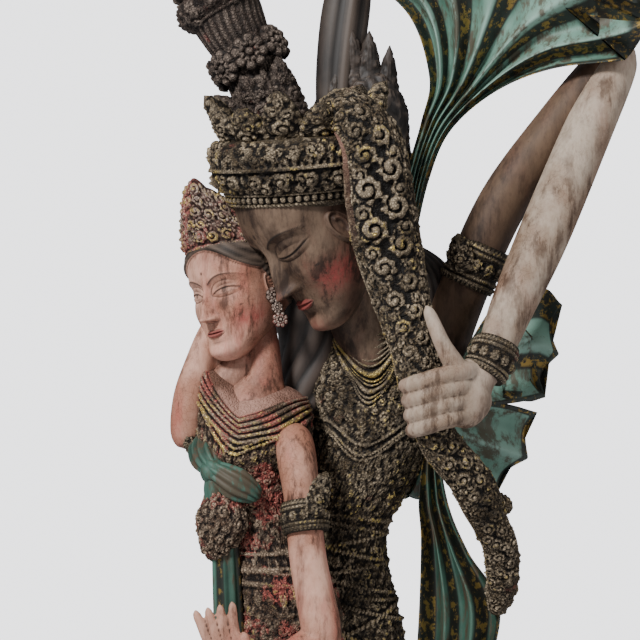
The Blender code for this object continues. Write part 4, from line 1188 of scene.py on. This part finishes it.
def tiara_wall(angles, steps):
    """Rings across a standing wall: the section is an upright loop, highest in front, with its top
    leaning in. Its columns are closer together on the outer face."""
    a = np.radians(angles)
    rise = 15 + 36 * held(np.cos(a)) ** 3 + 4 * np.abs(np.cos(4.5 * a))
    loop = turns(steps, 0.0, 1.2)
    across = 3.4 * np.sign(np.cos(loop)) * np.abs(np.cos(loop)) ** 0.4
    share = 0.5 + np.arcsin(np.sin(loop)) / np.pi
    level = 86 + (6 + rise)[:, None] * share
    radius = 38.5 + across + 1.5 * (1 - share) * (np.cos(loop) > 0) - 7.5 * share**1.4
    return np.stack([radius * np.cos(a)[:, None] - 3, radius * np.sin(a)[:, None], level], axis=-1)


wall = Carving(tiara_wall(np.linspace(-106, 106, 200), 100))
front_row = wall.along[-1]
chance = np.random.default_rng(81)
for row, share in enumerate((0.87, 0.95, 1.03, 1.11, 1.18)):
    up = 2.0 * (row % 2)
    while up < front_row:
        high = 0.5 * float(np.interp(up, wall.along, wall.girth[:, 0]))
        size = min(0.125 * high, 5.6)
        wall.cut(scroll if chance.random() < 0.7 else bloom, share, up, chance.uniform(0, 6), 1.1 * size)
        wall.cut(bead, share + 0.04, up + size, 0.0, 0.36 * size)
        up += 2.0 * size
for k in range(56):
    wall.cut(bead, 0.80, front_row * k / 56, 0.0, 1.5)
tiara_skins = [placed_carving(wall, CONSORT_HEAD, gilt=0.62 * wall.worn())]
for side_angle, size in ((0, 8.0), (40, 6.5), (-40, 6.5)):
    out = way_out(np.radians(side_angle))
    spot = seated(out * 38 + (-3, 0, 103), CONSORT_HEAD)
    tiara_skins.append(set_rosette(size, out @ axes(CONSORT_HEAD), axes(CONSORT_HEAD)[2], spot))
for k, (size, drop) in enumerate(((6.5, 0), (4.5, 10), (6.0, 20))):
    spot = seated((10, 39, 40 - drop), CONSORT_HEAD)
    tiara_skins.append(set_rosette(size, np.array([0.2, -1, 0.1]), np.array([0, 0, 1.0]), spot))
tiara_paint = gilt_carving(
    "pink_and_gilt_tiara", "#21150f", "#77594e", "#b09d90", "#b0625a", "#c8ab66", 0.6, 0.55
)
piece("consort_tiara", tiara_skins, tiara_paint)

# Her hair: a full knot behind her head that narrows to a tail on her back, twisted in nine
# strands. Stained black-brown.
plait = Carving(limb([
    (-52, 38, 806, 3), (-50, 40, 796, 20), (-46, 44, 764, 25), (-38, 48, 724, 25), (-44, 44, 684, 21),
    (-56, 38, 640, 14), (-64, 32, 600, 7), (-66, 30, 590, 1)
], 80, 76))
twist = plait.share * 9 + plait.along[:, None] / 40
plait.height += 2.6 * np.abs(np.sin(np.pi * twist)) ** 0.6
hair_wood = stained_wood("black_brown_hair", "#1a1412", "#352b26", "#54463d")
piece("consort_hair", [plait.skin()], hair_wood)

# Carved sash: a long bow of gilt scrolls, pulled from the crown through his fist and let fall to
# the scarf's corner. Its outer edge is a plain grey rim with traces of red.
SASH = [
    (-27, -62, 893, 5, 6), (-22, -68, 902, 13, 9), (-9, -76, 901, 18, 9.5), (7, -77, 877, 23, 9.5),
    (13, -74, 838, 25, 9), (20, -71, 800, 24, 8.5), (30, -72, 761, 20, 8.5), (39, -76, 727, 17, 8.5),
    (44, -80, 697, 15, 8.5), (50, -81, 674, 13.6, 8), (60, -78, 651, 13.5, 8), (80, -68, 627, 14, 8),
    (92, -58, 606, 14.5, 8), (100, -50, 588, 12, 8), (108, -40, 570, 12, 8), (111, -30, 546, 11, 8),
    (110, -20, 528, 9, 7), (107, -14, 514, 4, 4)
]
band = Carving(limb(SASH, 440, 98, (0.12, -1, 0), 3.0, 2.6))
band.scrollwork(4, band.along[-1] - 4, 4.8, 52)
half_way = np.interp(band.along, np.linspace(0, band.along[-1], 60), eased(SASH, 60)[:, 3])
step = 0.0
ups = []
while step < band.along[-1] - 8:
    ups.append(step + 8)
    step += max(0.62 * float(np.interp(step, band.along, half_way)), 7.0)
for k, up in enumerate(ups):
    wide = float(np.interp(up, band.along, half_way))
    girth = float(np.interp(up, band.along, band.girth[:, 0]))
    hand = 1 if k % 2 else -1
    reach = 0.40 * wide / girth
    band.cut(scroll, 0.25 + hand * reach, up, 1.2 * hand, 0.50 * wide)
    band.cut(scroll, 0.25 - 1.55 * hand * reach, up + 0.1 * wide, -1.4 * hand, 0.33 * wide)
    band.cut(bead, 0.25 - 0.5 * hand * reach, up - 0.28 * wide, 0.0, 0.13 * wide)
    band.cut(blade, 0.25 + 1.9 * hand * reach, up + 0.1 * wide, -0.8 * hand, 0.62 * wide, 0.36 * wide)
edge = np.abs(band.share - 0.25)
band.height = np.maximum(band.height, 2.2 * bell(edge - 0.235, 0.018))
band.height *= 1 - 0.9 * (edge > 0.33)
rim = (np.abs(band.share - 0.02) < 0.045) | (band.share > 0.975)
rim = rim * held(1.6 - band.along[:, None] / 90)
band.height *= 1 - 0.85 * rim
sash_skins = [band.skin(bare=0.8 * rim)]
sash_skins.append(crest_leaf((98, -52, 606), (117, -48, 600), (0.1, -1, 0.3), 8, 7))
piece("carved_sash", sash_skins, prince_carving_paint)

# Scarves: thin carved wood, pleated like silk, painted verdigris green with stripes of black and
# Brown wood shows through in streaks; the pleat ridges are painted paler as painted highlight and the
# hollows darker as painted shade.


def verdigris_paint(name, deep, wash_tone, ridge_highlight_tone):
    """Blue-green milk paint, thinned by handling: paler where dry, brown wood in streaks where handling
    took the paint off, and black stripes with broken gold leaf on them. The pleat ridges are laid paler as
    painted highlight and the pleat hollows darker as painted shade."""
    finish = Finish(name, 0.58, deep, 0.35)
    wash = finish.grain(30.0, (1, 1, 0.5), 6.0, 0.62)
    streak = finish.grain(6.0, (1, 1, 0.3), 6.0, 0.7, 6.0)
    fleck = finish.grain(4.0, detail=4.0, rough=0.75, shift=2.0)
    worn, stripe = finish.mark("worn"), finish.mark("stripe")
    finish.lay(wash_tone, wash.step(0.36, 0.64))
    # Painted highlight paler on the pleat ridges, painted shade darker in the pleat hollows.
    finish.lay(ridge_highlight_tone, worn.step(0.5, 0.95) * 0.42)
    finish.lay("#14281f", worn.step(0.45, 0.05) * 0.8)
    finish.lay("#4b3b2c", streak.step(0.46, 0.60) * 0.85)
    finish.lay("#1c1a17", stripe.step(0.35, 0.6) * 0.92)
    leaf = stripe.step(0.55, 0.8) * fleck.step(0.50, 0.60)
    finish.lay("#a0854a", leaf)
    finish.feed("Metallic", leaf * 0.85)
    return finish.done(streak, 0.3, 0.0006)


def scarf(
    left, right, steps, across, pleats, depth, thick=6.0, scallop=0.0, stripes=False, arch=0.0, hem=0.05
):
    """Cloth between a left and a right edge. Its front and back stand thick apart along the
    cloth's mean normal and meet in a rounded edge. Sharp ridges stand out of broad hollows,
    depth x (1 - |sin(pi pleats share)|); scallop and arch lengthen the hem at the ridges and in
    the middle. hem is the painted edge's share of the width; stripes adds one on each pleat."""
    left, right = eased(left, steps), eased(right, steps)
    share = np.linspace(0, 1, across)
    run = np.linspace(0, 1, steps)[:, None]
    cloth = left[:, None] * (1 - share)[None, :, None] + right[:, None] * share[None, :, None]
    along = unit(np.gradient(cloth, axis=0))
    width = np.linalg.norm(right - left, axis=1)[:, None]
    fullness = np.clip(width / (9.0 * pleats), 0.25, 1.3)
    facing = np.cross(np.gradient(cloth, axis=1), np.gradient(cloth, axis=0)).sum(axis=(0, 1))
    facing *= -np.sign(facing[1]) / np.linalg.norm(facing)
    ridge = 1.03 - np.sqrt(np.sin(np.pi * pleats * share) ** 2 + 0.004)[None, :]
    sway = 0.25 * depth * np.sin(2 * np.pi * (1.3 * share[None, :] + 0.8 * run))
    cloth += facing * (depth * (2 * ridge - 1) * fullness + sway)[..., None]
    late = held((run - 0.55) / 0.45) ** 2
    cloth += along * ((scallop * (2 * ridge - 1) + 4 * arch * share * (1 - share)) * late)[..., None]
    edge = np.minimum(share, 1 - share)[None, :] * width
    end = np.minimum(run, 1 - run) * np.linalg.norm(np.diff(left, axis=0), axis=1).sum()
    near = held(1 - np.minimum(edge, end) / (0.5 * thick))
    half = facing * (0.5 * thick * np.sqrt(np.clip(1 - near**2, 0.02, 1)))[..., None]
    rings = np.concatenate([cloth + half, (cloth - half)[:, ::-1]], axis=1)
    # Painted highlight on the pleat ridges and painted shade between them: high on the ridges, low in the
    # hollows, and turned over on the back face.
    worn = 0.30 + 0.62 * held(ridge) ** 0.7 * np.ones_like(run)
    stripe = held(0.5 + 14 * (hem - np.minimum(share, 1 - share)))[None, :] * np.ones_like(run)
    stripe = np.maximum(stripe, held(0.5 + 14 * (hem - 1 + run)))
    if stripes:
        beside = np.abs((share * pleats) % 1.0 - 0.27)
        wide = 0.17 + 0.07 * np.sin(9.0 * np.floor(share * pleats) + 1.0)
        stripe = np.maximum(stripe, held(0.5 + 4 * (wide - beside))[None, :] * np.ones_like(run))
    stripe = np.concatenate([stripe, stripe[:, ::-1]], axis=1)
    worn = np.concatenate([worn, 1 - worn[:, ::-1]], axis=1)
    return skin(rings, worn=worn, stripe=stripe)


verdigris = verdigris_paint("verdigris_milk_paint", "#436758", "#709485", "#a2beb1")
dark_verdigris = verdigris_paint("dark_verdigris_milk_paint", "#22392f", "#3d6154", "#5f7f70")
piece("flying_scarf", [scarf(
    [
        (32, 22, 786), (34, 22, 807), (38, 19, 860), (50, 14, 905), (57, 10, 942), (40, 8, 992),
        (-6, 6, 1030)
    ],
    [
        (43, 20, 786), (45, 20, 807), (56, 16, 858), (73, 9, 898), (108, -2, 928), (152, -14, 945),
        (206, -28, 950)
    ],
    84, 104, 6, 6, 6, 2, True, 100, 0.03
), scarf(
    [(30, 40, 700), (34, 34, 750), (33, 24, 800)], [(62, 36, 700), (56, 30, 750), (48, 22, 800)], 30, 24, 2,
    3
),], verdigris)
piece("wrist_scarf", [
    scarf(
        [(66, -22, 690), (86, -20, 730), (112, -10, 768), (124, -4, 776)],
        [(64, -24, 676), (94, -28, 678), (120, -22, 680), (142, -16, 684)], 54, 50, 2, 5, 6, 3, hem=0.04
    ),
    scarf(
        [(112, -10, 750), (130, -6, 766), (147, -8, 770), (157, -12, 760)],
        [(112, -20, 684), (124, -20, 682), (134, -16, 681), (142, -14, 683)], 48, 50, 2, 5, 6, 4, True, 4,
        0.09
    ),
    scarf(
        [(62, -20, 686), (88, -22, 684), (116, -15, 680), (137, -10, 674)],
        [(62, -20, 640), (78, -18, 626), (92, -12, 614), (104, -8, 608)], 56, 54, 2, 4, 7, 3, arch=10,
        hem=0.06
    ),
], verdigris)
piece("hanging_scarf", [
    scarf(
        [(53, 22, 640), (50, 20, 600), (52, 14, 568), (49, 6, 500), (42, 2, 420), (38, 0, 396)],
        [(64, 14, 640), (73, 6, 595), (88, 0, 560), (112, -12, 522), (104, -10, 470), (86, -4, 424)], 90,
        58, 3, 7, 6, 6, True, hem=0.07
    ),
    scarf(
        [(20, 68, 700), (14, 70, 650), (30, 50, 600), (48, 24, 640)],
        [(50, 62, 700), (46, 62, 650), (52, 44, 600), (66, 18, 632)], 40, 24, 2, 3
    ),
], dark_verdigris)

# Standing crest behind the crown: dark flames with scrolls at their feet, and one tall smooth
# plume folded over on itself. Left almost bare, dark brown.
crest_wood = stained_wood("dark_brown_crest", "#150f0c", "#2e241e", "#4f433a")
crest_skins = []
for n, (x, z, tall, wide) in enumerate((
    (-4, 918, 64, 12), (8, 914, 66, 12), (22, 898, 70, 11), (32, 854, 50, 10), (-24, 900, 48, 11),
    (30, 828, 44, 10), (14, 872, 60, 13), (0, 880, 50, 12)
)):
    crest_skins.append(crest_leaf(
        (x, 28 - 3 * (n % 2), z), (x + 3 * (n - 1) * 0.6, 30, z + tall), (0.1 * (n % 3 - 1), -1, 0.1), wide,
        7, 0.3
    ))
mass = Carving(limb([
    (6, 28, 838, 6), (8, 28, 852, 24, 14), (12, 28, 890, 27, 15), (12, 28, 926, 22, 13), (10, 28, 948, 6, 4)
], 50, 70))
mass.scrollwork(4, mass.along[-1] - 4, 6.5, 61)
nape = Carving(limb([
    (18, 24, 780, 8), (14, 24, 800, 30, 26), (4, 24, 840, 38, 34), (-8, 22, 876, 34, 32),
    (-14, 22, 894, 10, 10)
], 56, 110))
nape.height += 1.6 * np.abs(np.sin(np.pi * nape.share * 34)) ** 0.6
locks = Carving(limb([
    (34, 26, 800, 4), (42, 27, 796, 12, 10), (54, 29, 776, 22, 17), (58, 30, 750, 24, 18),
    (56, 30, 724, 20, 16), (54, 30, 706, 8, 8)
], 56, 96))
locks.height += 1.8 * np.abs(np.sin(np.pi * (locks.share * 22 + locks.along[:, None] / 60))) ** 0.6
piece("standing_crest", crest_skins + [mass.skin(), nape.skin(), locks.skin()], crest_wood)
plume_body = Carving(limb([
    (-21, 32, 880, 10, 9), (-19, 33, 912, 16, 11), (-16, 34, 956, 19, 12), (-10, 37, 1004, 19.5, 12),
    (-3, 40, 1038, 14, 9), (1, 40, 1057, 7, 5), (3, 40, 1066, 1, 1)
], 64, 50))
rib = np.abs(plume_body.share - 0.20)
plume_body.height += 2.6 * bell(rib, 0.035) - 1.5 * bell(rib - 0.09, 0.03)
piece("plume", [plume_body.skin()], crest_wood)

# Girdle: her green sash across the bust with its knot and tail, the carved bundle below it, and
# the narrow folded cloth down the front of each robe.
drape = Carving(limb([
    (-80, -29, 607, 2, 3), (-86, -32, 611, 7, 5), (-97, -34, 617, 11, 6), (-107, -31, 623, 9, 6),
    (-116, -26, 629, 6, 6), (-123, -17, 637, 10, 6), (-126, -6, 645, 10, 5), (-125, 4, 652, 4, 3)
], 60, 48, (-0.3, -1, 0)))
drape.height += 2.6 * np.abs(np.cos(np.pi * 9 * drape.share)) ** 0.7
tail = Carving(limb([
    (-116, -26, 628, 4, 4), (-114, -28, 612, 8, 5), (-108, -27, 592, 9, 4), (-104, -26, 578, 3, 2)
], 30, 32))
tail.height += 1.4 * np.abs(np.cos(np.pi * 5 * tail.share)) ** 0.7
knot = Carving(limb([
    (-123, -24, 634, 3, 3), (-119, -26, 630, 8, 7), (-115, -28, 626, 9, 7), (-111, -29, 621, 4, 4)
], 24, 32))
knot.height += 1.3 * np.abs(np.cos(np.pi * 6 * knot.share)) ** 0.7
girdle = [drape.skin(stripe=0.0), knot.skin(stripe=0.0), tail.skin(stripe=0.0)]
piece("bust_sash", girdle, dark_verdigris)
knob = Carving(limb([
    (-108, -20, 610, 6), (-108, -24, 602, 15, 12), (-109, -26, 588, 19, 14), (-113, -26, 573, 14, 12),
    (-115, -24, 562, 7, 8), (-115, -24, 557, 2)
], 72, 96, bias=1.5))
knob.scrollwork(3, knob.along[-1] - 2, 4.8, 71)
piece("girdle_bundle", [knob.skin(gilt=0.2 * knob.worn())], consort_carving_paint)


def falling_cloth(rows, folds):
    """A narrow folded cloth: a flat tube with folds of |cos(pi folds share)| down it."""
    fall = Carving(limb(rows, 90, 44, bias=1.5))
    fall.height += 2.2 * np.abs(np.cos(np.pi * folds * fall.share))
    return fall


consort_cloth = falling_cloth([
    (-98, -30, 66, 13, 5), (-98, -30, 80, 15, 6), (-98, -29, 200, 13, 6), (-101, -27, 400, 11, 6),
    (-107, -24, 570, 9, 5), (-107, -22, 584, 3, 2)
], 7)
prince_cloth = falling_cloth([
    (2, 2, 56, 12, 5), (2, 2, 70, 14, 6), (4, 3, 200, 13, 6), (0, 3, 350, 12, 6), (-4, 8, 480, 8, 4),
    (-4, 12, 500, 2, 2)
], 6)
piece("front_cloths", [
    fall.skin(stripe=0.25 + 0.5 * np.cos(6 * np.pi * fall.share)) for fall in (consort_cloth, prince_cloth)
], dark_verdigris)

# Studio: a pale floor, soft lights and the camera level with his fist, as in the photograph.
FRAME_WIDTH = 0.512      # metres across the photograph at the group
CAMERA_FAR = 1.5
EYE_SIDE, EYE_LEVEL = -0.032, 0.792
bpy.ops.mesh.primitive_plane_add(size=6.0, location=(0, 0, 0))
floor = bpy.context.object
floor.name = "floor"
floor.data.materials.append(Finish("pale_studio_floor", 0.8, "#d9d9dc").material)
floor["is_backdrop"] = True
world = bpy.data.worlds.new("studio")
world.use_nodes = True
sky = world.node_tree.nodes["Background"]
sky.inputs[0].default_value = tint("#dddde0")
seen = add(world.node_tree, "ShaderNodeLightPath").outputs["Is Camera Ray"]
strength = add(world.node_tree, "ShaderNodeMapRange", {0: seen, 3: 0.38, 4: 3.6})
world.node_tree.links.new(strength.outputs[0], sky.inputs[1])
bpy.context.scene.world = world
for name, spot, turn, size, power in (
    ("key", (-1.1, -1.5, 2.1), (50, 0, -36), 0.45, 70),
    ("fill", (1.5, -1.2, 1.3), (70, 0, 52), 1.2, 10),
    ("back", (0.6, 1.4, 1.9), (-50, 0, 160), 1.0, 14),
):
    light = bpy.data.lights.new(name, "AREA")
    light.energy = power
    light.size = size
    lamp = bpy.data.objects.new(name, light)
    lamp.location = spot
    lamp.rotation_euler = np.radians(turn)
    bpy.context.scene.collection.objects.link(lamp)
camera = bpy.data.cameras.new("camera")
camera.sensor_width = 36
camera.lens = 36 * CAMERA_FAR / FRAME_WIDTH
eye = bpy.data.objects.new("camera", camera)
eye.location = (EYE_SIDE, -CAMERA_FAR, EYE_LEVEL)
eye.rotation_euler = (np.pi / 2, 0, 0)
bpy.context.scene.collection.objects.link(eye)
bpy.context.scene.camera = eye

visual_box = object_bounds()
[[list(map(float, corner)) for corner in box] for box in (cad_box, visual_box)]
